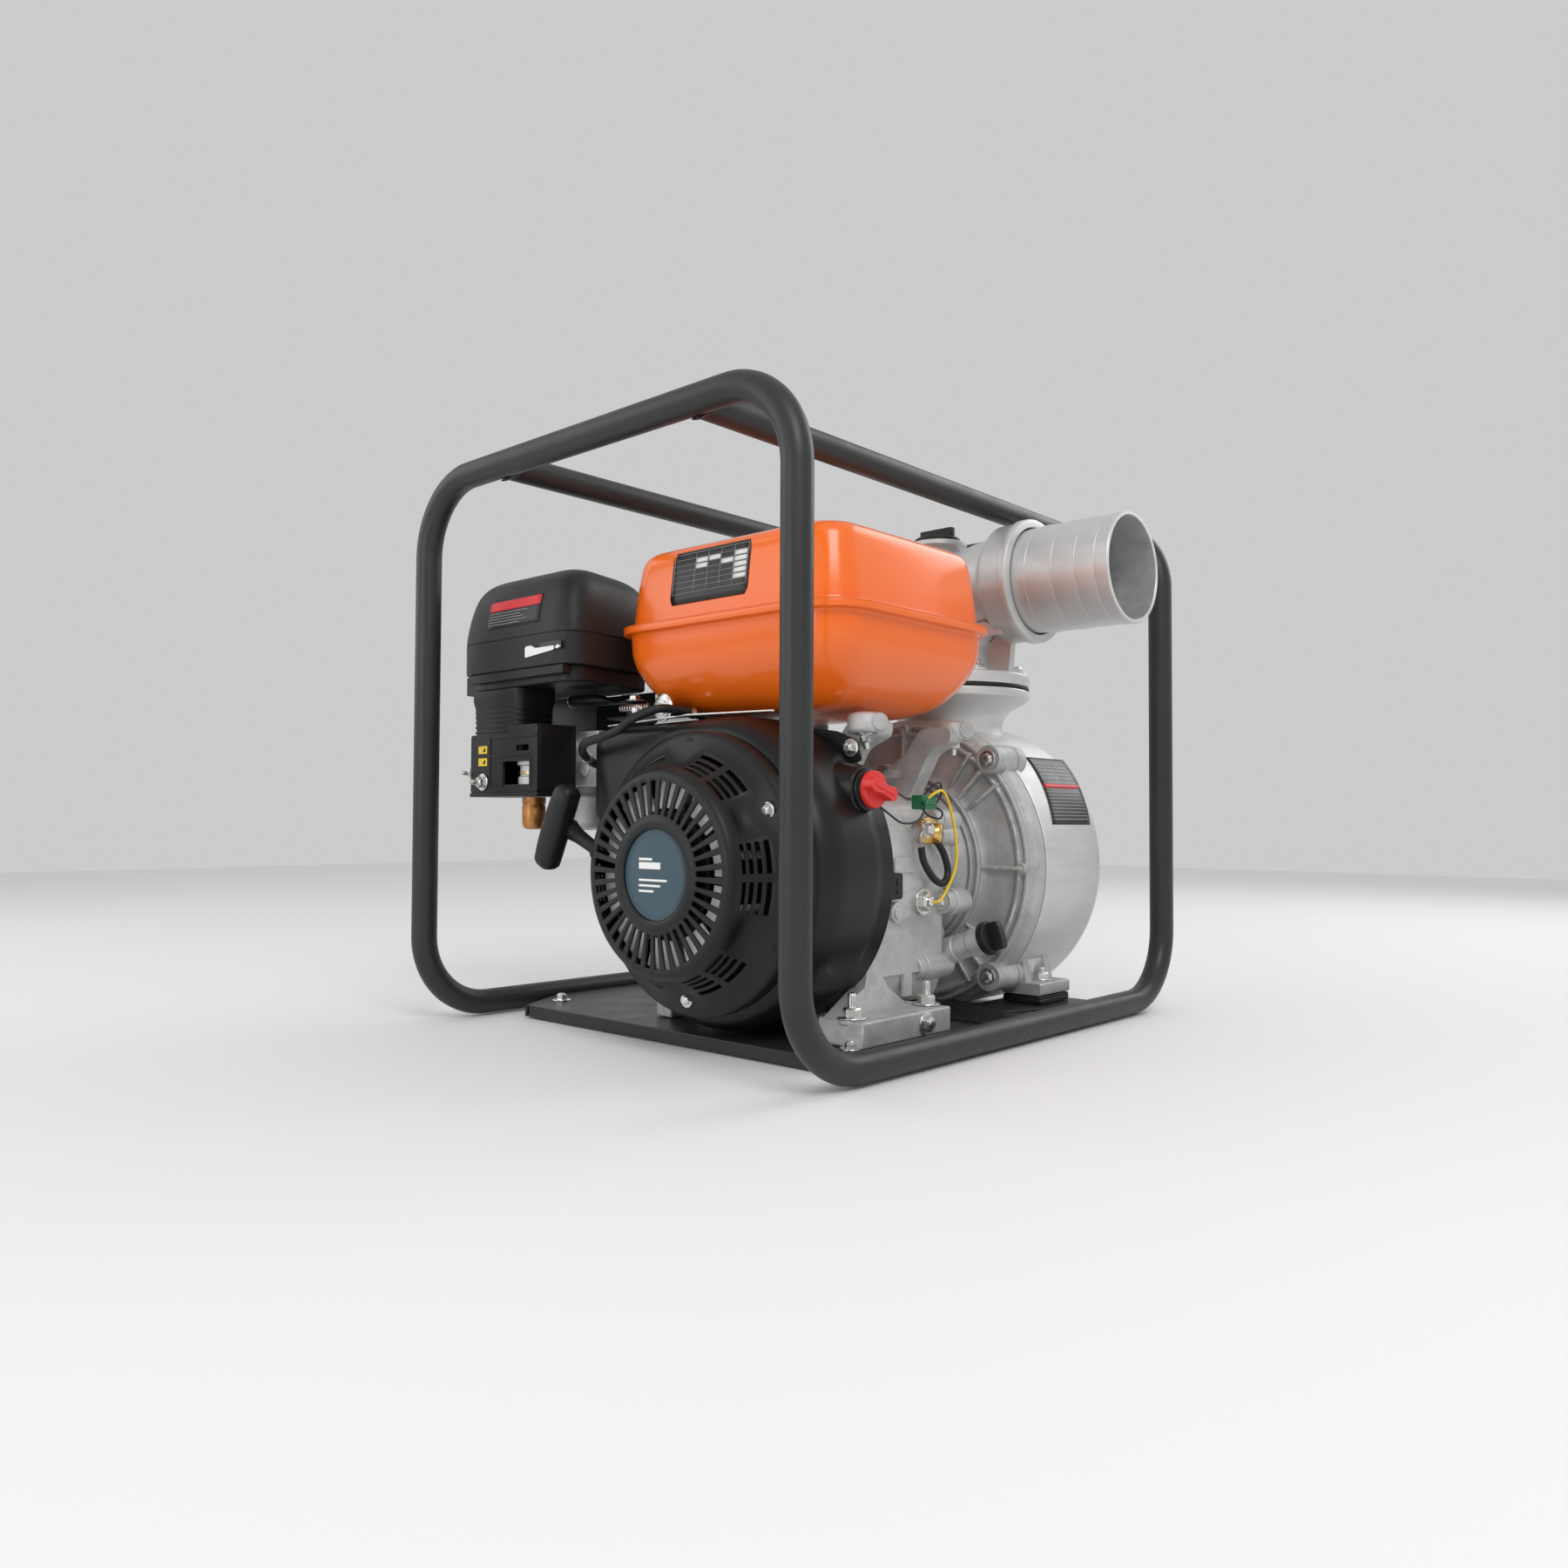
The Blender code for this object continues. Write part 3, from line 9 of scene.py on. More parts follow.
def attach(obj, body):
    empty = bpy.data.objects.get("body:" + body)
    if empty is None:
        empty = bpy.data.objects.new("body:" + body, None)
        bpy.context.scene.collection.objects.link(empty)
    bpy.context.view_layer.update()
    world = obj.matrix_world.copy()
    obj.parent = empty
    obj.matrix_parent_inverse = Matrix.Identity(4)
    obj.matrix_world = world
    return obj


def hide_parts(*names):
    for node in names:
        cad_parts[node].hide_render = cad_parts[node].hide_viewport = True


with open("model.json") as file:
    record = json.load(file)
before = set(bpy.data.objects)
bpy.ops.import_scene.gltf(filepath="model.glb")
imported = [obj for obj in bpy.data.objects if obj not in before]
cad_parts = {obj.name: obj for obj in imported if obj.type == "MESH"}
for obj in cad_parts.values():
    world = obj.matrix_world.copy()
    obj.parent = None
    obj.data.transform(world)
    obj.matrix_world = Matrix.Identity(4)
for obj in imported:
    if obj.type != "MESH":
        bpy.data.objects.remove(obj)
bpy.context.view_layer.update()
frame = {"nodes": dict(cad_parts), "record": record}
NODES = frame["nodes"]

# Shapes are drawn from the middle of the tube frame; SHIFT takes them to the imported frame.
SHIFT = Vector((-0.01215, -0.01415, 0.0))


# ---- camera -------------------------------------------------------------------------
camera = bpy.data.objects.new("camera", bpy.data.cameras.new("camera"))
bpy.context.scene.collection.objects.link(camera)
camera.data.lens = 27.366
camera.data.sensor_width = 36
camera.data.clip_end = 30
camera.location = Vector((0.79134, -0.91926, 0.19612)) + SHIFT
turn = Matrix.Rotation(math.radians(42.03), 4, "Z") @ Matrix.Rotation(math.radians(91.729), 4, "X")
turn = turn @ Matrix.Rotation(math.radians(0.255), 4, "Z")
camera.rotation_euler = turn.to_euler()
bpy.context.scene.camera = camera


# ---- materials ----------------------------------------------------------------------
def surface(name, colour, rough, metal=0.0, coat=0.0, tint=0.10, tint_scale=9.0, rough_vary=0.12,
            grain=260.0, bump=0.12, depth=0.0003, wear=None, wear_at=0.54, dust=0.0, stretch=None,
            specular=0.5):
    """A finish with uneven colour, uneven gloss, a fine grain, worn edges and a little dust."""
    made = bpy.data.materials.new(name)
    made.use_nodes = True
    tree = made.node_tree
    nodes, links = tree.nodes, tree.links
    shader = nodes["Principled BSDF"]
    shader.inputs["Metallic"].default_value = metal
    shader.inputs["Coat Weight"].default_value = coat
    shader.inputs["Coat Roughness"].default_value = 0.12
    shader.inputs["Specular IOR Level"].default_value = specular
    place = nodes.new("ShaderNodeTexCoord")
    source = place.outputs["Object"]
    if stretch:
        mapping = nodes.new("ShaderNodeMapping")
        mapping.inputs["Scale"].default_value = stretch
        links.new(source, mapping.inputs["Vector"])
        source = mapping.outputs["Vector"]

    def noise(scale, detail=5.0, roughness=0.6):
        node = nodes.new("ShaderNodeTexNoise")
        node.inputs["Scale"].default_value = scale
        node.inputs["Detail"].default_value = detail
        node.inputs["Roughness"].default_value = roughness
        links.new(source, node.inputs["Vector"])
        return node.outputs["Fac"]

    def remap(value, low, high, lo, hi):
        node = nodes.new("ShaderNodeMapRange")
        for key, number in (("From Min", low), ("From Max", high), ("To Min", lo), ("To Max", hi)):
            node.inputs[key].default_value = number
        links.new(value, node.inputs["Value"])
        return node.outputs["Result"]

    def mix(factor, first, second):
        node = nodes.new("ShaderNodeMix")
        node.data_type = "RGBA"
        for socket, value in ((node.inputs[0], factor), (node.inputs[6], first), (node.inputs[7], second)):
            if isinstance(value, (int, float)):
                socket.default_value = value
            elif isinstance(value, tuple):
                socket.default_value = value
            else:
                links.new(value, socket)
        return node.outputs[2]

    dark = tuple(c * (1 - tint) for c in colour) + (1.0,)
    light = tuple(min(1.0, c * (1 + tint) + 0.002) for c in colour) + (1.0,)
    shade = mix(remap(noise(tint_scale), 0.35, 0.65, 0.0, 1.0), dark, light)
    gloss = remap(noise(tint_scale * 3.1, 6.0), 0.3, 0.7, rough - rough_vary / 2, rough + rough_vary / 2)
    if wear:
        geometry = nodes.new("ShaderNodeNewGeometry")
        edge = remap(geometry.outputs["Pointiness"], wear_at, wear_at + 0.05, 0.0, 1.0)
        broken = remap(noise(70.0, 8.0, 0.7), 0.46, 0.60, 0.0, 1.0)
        both = nodes.new("ShaderNodeMath")
        both.operation = "MULTIPLY"
        links.new(edge, both.inputs[0])
        links.new(broken, both.inputs[1])
        shade = mix(both.outputs[0], shade, tuple(wear) + (1.0,))
    if dust:
        geometry = nodes.new("ShaderNodeNewGeometry")
        split = nodes.new("ShaderNodeSeparateXYZ")
        links.new(geometry.outputs["Normal"], split.inputs[0])
        up = remap(split.outputs["Z"], 0.55, 1.0, 0.0, dust)
        shade = mix(up, shade, (0.32, 0.30, 0.27, 1.0))
    links.new(shade, shader.inputs["Base Color"])
    links.new(gloss, shader.inputs["Roughness"])
    rise = nodes.new("ShaderNodeBump")
    rise.inputs["Strength"].default_value = bump
    rise.inputs["Distance"].default_value = depth
    links.new(noise(grain, 4.0, 0.65), rise.inputs["Height"])
    links.new(rise.outputs["Normal"], shader.inputs["Normal"])
    return made


M = {
    "frame_paint": surface("frame_paint", (0.024, 0.026, 0.026), 0.40, 0.0, tint=0.08, grain=420, bump=0.22,
                           depth=0.0002, specular=0.36),
    "black_paint": surface("black_paint", (0.0055, 0.006, 0.006), 0.36, 0.0, tint=0.12, grain=300, bump=0.10,
                           depth=0.0002, specular=0.34),
    "black_plastic": surface("black_plastic", (0.0065, 0.007, 0.007), 0.42, 0.0, tint=0.15, grain=650,
                             bump=0.42,
                             depth=0.0003, dust=0.006, specular=0.36),
    "cleaner_plastic": surface("cleaner_plastic", (0.0135, 0.014, 0.014), 0.46, 0.0, tint=0.10, grain=800,
                               bump=0.55, depth=0.0003, dust=0.008, specular=0.34),
    "tank_orange": surface("tank_orange", (0.92, 0.155, 0.008), 0.24, 0.0, coat=0.35, tint=0.02,
                           tint_scale=5,
                           rough_vary=0.05, grain=60, bump=0.03, depth=0.0004),
    "cast_aluminium": surface("cast_aluminium", (0.56, 0.57, 0.57), 0.50, 0.55, tint=0.10, tint_scale=26,
                              rough_vary=0.16, grain=900, bump=0.42, depth=0.0003, wear=(0.62, 0.62, 0.62)),
    "cast_rough": surface("cast_rough", (0.46, 0.47, 0.47), 0.55, 0.50, tint=0.14, tint_scale=40,
                          rough_vary=0.18, grain=700, bump=0.75, depth=0.0005, wear=(0.78, 0.78, 0.78)),
    "cast_satin": surface("cast_satin", (0.62, 0.63, 0.63), 0.46, 0.55, tint=0.05, tint_scale=14,
                          rough_vary=0.10, grain=420, bump=0.16, depth=0.0002, stretch=(1.0, 1.0, 6.0)),
    # fan alloy painted lighter than the metal's own grey: a painted highlight for the fan, which sits in
    # shade behind the starter's slots
    "fan_alloy": surface("fan_alloy", (0.80, 0.81, 0.81), 0.50, 0.15, tint=0.08, tint_scale=40, grain=700,
                         bump=0.3,
                         depth=0.0003),
    "zinc": surface("zinc", (0.72, 0.72, 0.70), 0.26, 1.0, tint=0.10, tint_scale=120, rough_vary=0.16,
                    grain=900, bump=0.12, depth=0.0001),
    "steel": surface("steel", (0.46, 0.46, 0.46), 0.32, 1.0, tint=0.14, tint_scale=30, rough_vary=0.2,
                     grain=500, bump=0.14, depth=0.0002, dust=0.05),
    "bronze": surface("bronze", (0.44, 0.20, 0.07), 0.36, 0.85, tint=0.16, tint_scale=60, grain=500,
                      bump=0.15, depth=0.0002),
    "brass": surface("brass", (0.72, 0.46, 0.16), 0.26, 1.0, tint=0.16, tint_scale=60, grain=500, bump=0.12,
                     depth=0.0002),
    "rubber": surface("rubber", (0.008, 0.008, 0.008), 0.55, 0.0, tint=0.2, grain=700, bump=0.35,
                      depth=0.0003),
    "red_plastic": surface("red_plastic", (0.72, 0.030, 0.026), 0.34, 0.0, tint=0.06, grain=500, bump=0.15,
                           depth=0.0002),
    "green_plastic": surface("green_plastic", (0.012, 0.16, 0.065), 0.38, 0.0, tint=0.12, grain=500,
                             bump=0.15, depth=0.0002),
    "yellow_wire": surface("yellow_wire", (0.90, 0.60, 0.02), 0.40, 0.0, tint=0.05, grain=400, bump=0.1,
                           depth=0.0001),
    "badge_blue": surface("badge_blue", (0.040, 0.078, 0.104), 0.34, 0.0, tint=0.05, grain=500, bump=0.08,
                          depth=0.0001),
    "label_black": surface("label_black", (0.012, 0.011, 0.012), 0.34, 0.0, tint=0.05, grain=300, bump=0.05,
                           depth=0.0001),
    "label_white": surface("label_white", (0.82, 0.82, 0.80), 0.40, 0.0, tint=0.03, grain=300, bump=0.05,
                           depth=0.0001),
    "label_grey": surface("label_grey", (0.30, 0.30, 0.30), 0.40, 0.0, tint=0.03, grain=300, bump=0.05,
                          depth=0.0001),
    "label_red": surface("label_red", (0.62, 0.016, 0.024), 0.36, 0.0, tint=0.04, grain=300, bump=0.05,
                         depth=0.0001),
    "label_yellow": surface("label_yellow", (0.86, 0.58, 0.02), 0.36, 0.0, tint=0.04, grain=300, bump=0.05,
                            depth=0.0001),
    "foam": surface("foam", (0.05, 0.05, 0.055), 0.95, 0.0, tint=0.3, grain=300, bump=0.9, depth=0.001),
}
NODE_SLOT = {row["node"]: row["material_slot"] for row in frame["record"]["subparts"]}
SHARP_EDGE = math.radians(32)
for mesh_node in NODES.values():
    mesh_node.data.materials.clear()
    mesh_node.data.materials.append(M[NODE_SLOT[mesh_node.name]])
    mesh_node.data.set_sharp_from_angle(angle=SHARP_EDGE)


# ---- shape helpers ------------------------------------------------------------------
def arc(centre, radius, start, end, count):
    spots = []
    for i in range(count + 1):
        a = math.radians(start + (end - start) * i / count)
        spots.append((centre[0] + radius * math.cos(a), centre[1] + radius * math.sin(a)))
    return spots


def round_rect(centre, half_x, half_y, radius, count=8):
    spots = []
    for sx, sy, start in ((1, 1, 0), (-1, 1, 90), (-1, -1, 180), (1, -1, 270)):
        middle = (centre[0] + sx * (half_x - radius), centre[1] + sy * (half_y - radius))
        spots += arc(middle, radius, start, start + 90, count)
    return spots


def rounded(corners, radius, count=6):
    spots = []
    total = len(corners)
    for i, corner in enumerate(corners):
        here = Vector(corner)
        before, after = Vector(corners[i - 1]) - here, Vector(corners[(i + 1) % total]) - here
        reach = min(radius, before.length * 0.45, after.length * 0.45)
        start, end = here + before.normalized() * reach, here + after.normalized() * reach
        for k in range(count + 1):
            t = k / count
            spots.append(tuple(start * (1 - t) ** 2 + here * 2 * t * (1 - t) + end * t ** 2))
    return spots


def bent(corners, radius, count=14):
    route = [Vector(corners[0])]
    for before, here, after in zip(corners, corners[1:], corners[2:]):
        here = Vector(here)
        back, ahead = (Vector(before) - here).normalized(), (Vector(after) - here).normalized()
        angle = math.pi - back.angle(ahead)
        reach = radius * math.tan(angle / 2)
        hub = here + (back + ahead).normalized() * radius / math.cos(angle / 2)
        start, side = here + back * reach - hub, here + ahead * reach - hub
        axis = start.cross(side).normalized()
        for k in range(count + 1):
            route.append(hub + Matrix.Rotation(angle * k / count, 3, axis) @ start)
    route.append(Vector(corners[-1]))
    return route


def smooth_route(corners, per_span=8):
    spots = [Vector(c) for c in corners]
    ends = [spots[0] * 2 - spots[1]] + spots + [spots[-1] * 2 - spots[-2]]
    route = []
    for a, b, c, d in zip(ends, ends[1:], ends[2:], ends[3:]):
        for k in range(per_span):
            t = k / per_span
            route.append(0.5 * (2 * b + (c - a) * t + (2 * a - 5 * b + 4 * c - d) * t * t
                                + (3 * b - a - 3 * c + d) * t ** 3))
    route.append(spots[-1])
    return route


def refine(rows, per_span=4):
    """Catmull-Rom between rows of numbers, to make a smooth table of sections."""
    out = []
    ends = [rows[0]] + list(rows) + [rows[-1]]
    for a, b, c, d in zip(ends, ends[1:], ends[2:], ends[3:]):
        for k in range(per_span):
            t = k / per_span
            out.append([0.5 * (2 * q + (r - p) * t + (2 * p - 5 * q + 4 * r - s) * t * t
                               + (3 * q - p - 3 * r + s) * t ** 3) for p, q, r, s in zip(a, b, c, d)])
    out.append(list(rows[-1]))
    return out


class Shape:
    """Collects solids in one mesh, in the design frame."""

    def __init__(self):
        self.bm = bmesh.new()

    def rod(self, a, b, r1, r2=None, sides=28):
        a, b = Vector(a), Vector(b)
        spin = (b - a).to_track_quat("Z", "Y").to_matrix().to_4x4()
        bmesh.ops.create_cone(self.bm, cap_ends=True, segments=sides, radius1=r1,
                              radius2=r1 if r2 is None else r2, depth=(b - a).length,
                              matrix=Matrix.Translation((a + b) / 2) @ spin)
        return self

    def box(self, low, high, spin=None):
        low, high = Vector(low), Vector(high)
        size = Matrix.Diagonal((*(high - low), 1.0))
        matrix = Matrix.Translation((low + high) / 2) @ size
        if spin is not None:
            matrix = spin @ matrix
        bmesh.ops.create_cube(self.bm, size=1.0, matrix=matrix)
        return self

    def lathe(self, profile, at, direction, steps=72, closed=False):
        """profile is (radius, height) along the direction; a closed one is a ring."""
        spin = Vector(direction).to_track_quat("Z", "Y").to_matrix().to_4x4()
        matrix = Matrix.Translation(Vector(at)) @ spin
        rows = []
        for r, h in profile:
            if r < 1e-6:
                rows.append([self.bm.verts.new(matrix @ Vector((0, 0, h)))])
                continue
            rows.append([self.bm.verts.new(matrix @ Vector((r * math.cos(math.tau * i / steps),
                                                            r * math.sin(math.tau * i / steps), h)))
                         for i in range(steps)])
        pairs = list(zip(rows, rows[1:]))
        if closed:
            pairs.append((rows[-1], rows[0]))
        for low, high in pairs:
            for i in range(steps):
                j = (i + 1) % steps
                if len(low) == 1 and len(high) == 1:
                    continue
                if len(low) == 1:
                    self.bm.faces.new((low[0], high[j], high[i]))
                elif len(high) == 1:
                    self.bm.faces.new((low[i], low[j], high[0]))
                else:
                    self.bm.faces.new((low[i], low[j], high[j], high[i]))
        return self

    def prism(self, outline, axis, low, high, spin=None):
        """A flat outline made thick along an axis; outline is (x, z) for Y, (y, z) for X, (x, y) for Z."""
        def spot(u, v, w):
            point = {"X": Vector((w, u, v)), "Y": Vector((u, w, v)), "Z": Vector((u, v, w))}[axis]
            return spin @ point if spin is not None else point
        first = [self.bm.verts.new(spot(u, v, low)) for u, v in outline]
        last = [self.bm.verts.new(spot(u, v, high)) for u, v in outline]
        self.bm.faces.new(first)
        self.bm.faces.new(last[::-1])
        for i in range(len(outline)):
            j = (i + 1) % len(outline)
            self.bm.faces.new((first[i], last[i], last[j], first[j]))
        return self

    def skin(self, rings, cap_first=True, cap_last=True, closed=True):
        rows = [[self.bm.verts.new(spot) for spot in ring] for ring in rings]
        count = len(rows[0])
        for low, high in zip(rows, rows[1:]):
            for i in range(count if closed else count - 1):
                j = (i + 1) % count
                self.bm.faces.new((low[i], low[j], high[j], high[i]))
        if cap_first:
            self.bm.faces.new(rows[0][::-1])
        if cap_last:
            self.bm.faces.new(rows[-1])
        return self

    def hexagon(self, a, b, across):
        a, b = Vector(a), Vector(b)
        way = (b - a).normalized()
        self.rod(a, b - way * across * 0.10, across / math.sqrt(3), sides=6)
        self.rod(b - way * across * 0.10, b, across / math.sqrt(3), across * 0.47, sides=6)
        return self

    def done(self, name, material, bevel=0.0, segments=2, angle=30, limit=35, flat=False, merge=False):
        if merge:
            bmesh.ops.remove_doubles(self.bm, verts=self.bm.verts, dist=0.00001)
        bmesh.ops.recalc_face_normals(self.bm, faces=self.bm.faces)
        mesh = bpy.data.meshes.new(name)
        self.bm.to_mesh(mesh)
        self.bm.free()
        if not flat:
            mesh.shade_smooth()
            mesh.set_sharp_from_angle(angle=math.radians(limit))
        mesh.materials.append(M[material])
        obj = bpy.data.objects.new(name, mesh)
        obj.location = SHIFT
        bpy.context.scene.collection.objects.link(obj)
        if bevel:
            rounding = obj.modifiers.new("rounding", "BEVEL")
            rounding.width = bevel
            rounding.segments = segments
            rounding.limit_method = "ANGLE"
            rounding.angle_limit = math.radians(angle)
            rounding.harden_normals = False
        return obj


def tube(name, route, radius, material, resolution=5, spline="POLY"):
    curve = bpy.data.curves.new(name, "CURVE")
    curve.dimensions = "3D"
    curve.bevel_depth = radius
    curve.bevel_resolution = resolution
    curve.use_fill_caps = True
    line = curve.splines.new(spline)
    line.points.add(len(route) - 1)
    for point, spot in zip(line.points, route):
        point.co = (*spot, 1.0)
    line.use_smooth = True
    curve.materials.append(M[material])
    obj = bpy.data.objects.new(name, curve)
    obj.location = SHIFT
    bpy.context.scene.collection.objects.link(obj)
    return obj


def flat(name, outlines, axis, low, high, material, bevel=0.0):
    """Outlines with holes, made thick along an axis."""
    curve = bpy.data.curves.new(name, "CURVE")
    curve.dimensions = "2D"
    curve.fill_mode = "BOTH"
    curve.extrude = (high - low) / 2 - bevel
    curve.bevel_depth = bevel
    curve.bevel_resolution = 2
    if bevel:
        curve.offset = -bevel
    for outline in outlines:
        line = curve.splines.new("POLY")
        line.points.add(len(outline) - 1)
        for point, (u, v) in zip(line.points, outline):
            point.co = (u, v, 0.0, 1.0)
        line.use_cyclic_u = True
    planes = {"X": ((0, 0, 1), (1, 0, 0), (0, 1, 0)), "Y": ((1, 0, 0), (0, 0, -1), (0, 1, 0)),
              "Z": ((1, 0, 0), (0, 1, 0), (0, 0, 1))}
    step = {"X": Vector((1, 0, 0)), "Y": Vector((0, 1, 0)), "Z": Vector((0, 0, 1))}[axis]
    obj = bpy.data.objects.new(name, curve)
    obj.matrix_world = Matrix.Translation(SHIFT + step * (low + high) / 2) @ Matrix(planes[axis]).to_4x4()
    curve.materials.append(M[material])
    bpy.context.scene.collection.objects.link(obj)
    return obj


def hollow(obj, cutter):
    """Cut the cutter's shape out of a piece and drop the cutter."""
    cut = obj.modifiers.new("hollow", "BOOLEAN")
    cut.operation = "DIFFERENCE"
    cut.solver = "EXACT"
    cut.use_self = True
    cut.object = cutter
    bpy.context.view_layer.update()
    rounding = [m for m in obj.modifiers if m.type == "BEVEL"]
    for modifier in rounding:
        modifier.show_viewport = False
    mesh = bpy.data.meshes.new_from_object(obj.evaluated_get(bpy.context.evaluated_depsgraph_get()))
    for modifier in rounding:
        modifier.show_viewport = True
    obj.modifiers.remove(cut)
    obj.data = mesh
    bpy.data.objects.remove(cutter)
    return obj


def fit(obj, body="pump_set", replaces=()):
    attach(obj, body)
    if replaces:
        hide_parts(*replaces)
    return obj


COUNT = {}


def numbered(stem):
    COUNT[stem] = COUNT.get(stem, 0) + 1
    return f"{stem}_{COUNT[stem]}"


def bolt(at, way, across=0.010, head=0.0055, washer=0.0085, stud=0.0, stem="bolt", body="pump_set",
         sink=0.004):
    """Hexagon head or nut on a washer, with a threaded stud through it when stud is given."""
    at, way = Vector(at), Vector(way).normalized()
    shape = Shape()
    shape.lathe([(0, -sink), (washer * 0.6, -sink), (washer * 0.6, 0), (washer, 0.0001), (washer, 0.0010),
                 (washer * 0.94, 0.0014), (0, 0.0014)], at, way, 36)
    shape.hexagon(at + way * 0.0010, at + way * (0.0014 + head), across)
    top = 0.0014 + head
    if stud:
        r = across * 0.29
        rows = [(0, 0)]
        turns = int(stud / 0.0011)
        for k in range(turns):
            rows += [(r, top - 0.001 + k * 0.0011), (r * 0.86, top - 0.001 + (k + 0.5) * 0.0011)]
        rows += [(r * 0.8, top + stud - 0.0008), (0, top + stud - 0.0008)]
        shape.lathe(rows, at, way, 20)
    else:
        shape.lathe([(0, top - 0.001), (across * 0.40, top - 0.001), (across * 0.40, top + 0.0002),
                     (across * 0.34, top + 0.0007), (0, top + 0.0008)], at, way, 24)
    return fit(shape.done(numbered(stem), "zinc", bevel=0.0003, segments=2), body)


# ---- sizes of the object, as in the CAD ----------------------------------------------
TUBE_R = 0.0121
HALF_W, HALF_L, RAIL_Z, TOP_Z, BEND_R = 0.239, 0.2939, 0.0127, 0.5178, 0.070
CX, CZ = 0.063, 0.151
FACE = -0.268
OUTLET = Vector((0.0645, 0.155, 0.4415))
SUCTION_Z = 0.217


def polar(radius, degrees, y):
    a = math.radians(degrees)
    return Vector((CX + radius * math.cos(a), y, CZ + radius * math.sin(a)))


# ---- frame ----------------------------------------------------------------------------
def build_frame():
    for name, side in (("frame_front_tube", -1), ("frame_rear_tube", 1)):
        y_end, y_arch = side * 0.0003, side * HALF_L
        corners = [(HALF_W, y_end, RAIL_Z), (HALF_W, y_arch, RAIL_Z), (HALF_W, y_arch, TOP_Z),
                   (-HALF_W, y_arch, TOP_Z), (-HALF_W, y_arch, RAIL_Z), (-HALF_W, y_end, RAIL_Z)]
        fit(tube("skin_" + name, bent(corners, BEND_R, 24), TUBE_R, "frame_paint", 8),
            replaces=(name,))
    for x in (-HALF_W, HALF_W):
        ring = Shape().lathe([(TUBE_R - 0.001, -0.004), (TUBE_R, -0.003), (TUBE_R + 0.0001, 0),
                              (TUBE_R, 0.003), (TUBE_R - 0.001, 0.004)], (x, 0, RAIL_Z), (0, 1, 0),
                             48)
        fit(ring.done(numbered("rail_weld"), "frame_paint"))
    for side, x in (("left", -0.119), ("right", 0.133)):
        rail = tube("skin_top_rail_" + side, [Vector((x, -HALF_L + 0.004, TOP_Z)),
                                              Vector((x, HALF_L - 0.004, TOP_Z))],
                    TUBE_R, "frame_paint", 8)
        fit(rail, replaces=("top_rail_" + side,))
        for end in (-1, 1):
            shape = Shape()
            steps = 40
            rings = []
            for grow, back in ((0.0, 0.0), (0.0022, 0.0006), (0.0016, 0.0030), (0.0, 0.0042)):
                ring = []
                for i in range(steps):
                    a = math.tau * i / steps
                    r = TUBE_R + grow
                    u, v = r * math.cos(a), r * math.sin(a)
                    saddle = math.sqrt(max(0.0, (TUBE_R + 0.0003) ** 2 - min(abs(v), TUBE_R) ** 2))
                    ring.append(Vector((x + u, end * (HALF_L - saddle - back), TOP_Z + min(v, TUBE_R))))
                rings.append(ring)
            shape.skin(rings, False, False)
            fit(shape.done(numbered("saddle_weld"), "frame_paint"))


def build_supports():
    half = HALF_W - 0.0131
    outline = [(-half, -0.002), (-half, -0.145), (-half + 0.036, -0.210), (half - 0.036, -0.210),
               (half, -0.145), (half, -0.002)]
    plate = Shape().prism(rounded(outline, 0.010, 5), "Z", 0.0098, 0.0125)
    plate.box((-half + 0.040, -0.2098, 0.0012), (half - 0.040, -0.2070, 0.0115))
    plate.box((-half + 0.004, -0.0050, 0.0012), (half - 0.004, -0.0022, 0.0115))
    for side in (-1, 1):
        spin = (Matrix.Translation((side * (half - 0.018), -0.1775, 0))
                @ Matrix.Rotation(side * math.radians(61), 4, "Z"))
        plate.box((-0.0365, -0.0014, 0.0012), (0.0365, 0.0014, 0.0115), spin)
    fit(plate.done("skin_engine_base_plate", "frame_paint", bevel=0.0009, segments=3),
        replaces=("engine_base_plate",))
    half = HALF_W - 0.0131
    outline = [(-half, 0.176), (-half, 0.100), (-0.100, 0.100), (-0.070, 0.056), (0.196, 0.056),
               (0.210, 0.100), (half, 0.100), (half, 0.176), (0.146, 0.176), (0.146, 0.081),
               (-0.020, 0.081), (-0.020, 0.176)]
    member = Shape().prism(rounded(outline, 0.006, 4), "Z", 0.0148, 0.0177)
    member.box((-0.064, 0.0562, 0.0042), (0.190, 0.0588, 0.0167))
    member.box((0.148, 0.1732, 0.0042), (half - 0.002, 0.1758, 0.0167))
    member.box((-half + 0.002, 0.1732, 0.0042), (-0.022, 0.1758, 0.0167))
    fit(member.done("skin_pump_cross_member", "frame_paint", bevel=0.0009, segments=3),
        replaces=("pump_cross_member",))
    for x in (0.180, -0.054):
        pad = Shape().box((x - 0.0208, 0.1072, 0.0182), (x + 0.0208, 0.1628, 0.0260))
        pad.box((x - 0.0212, 0.1068, 0.0210), (x + 0.0212, 0.1632, 0.0230))
        side = "right" if x > 0 else "left"
        fit(pad.done("skin_foot_pad_" + side, "rubber", bevel=0.0012),
            replaces=("pump_foot_pad_" + side,))
    for x, y in ((-0.188, -0.168), (0.188, -0.168)):
        bolt((x, y, 0.0125), (0, 0, 1), 0.0095, 0.0050, 0.0095, stem="plate_bolt")


# ---- engine -----------------------------------------------------------------------------
def comb(first, last, root, tip, pitch, web):
    upper = [(first, root)]
    spot = first + pitch / 2
    while spot + web < last:
        upper += [(spot, root), (spot, tip), (spot + web, tip), (spot + web, root)]
        spot += pitch
    upper.append((last, root))
    pairs = upper + [(d, -s) for d, s in reversed(upper)]
    return [(along(d, s).x, along(d, s).z) for d, s in pairs]


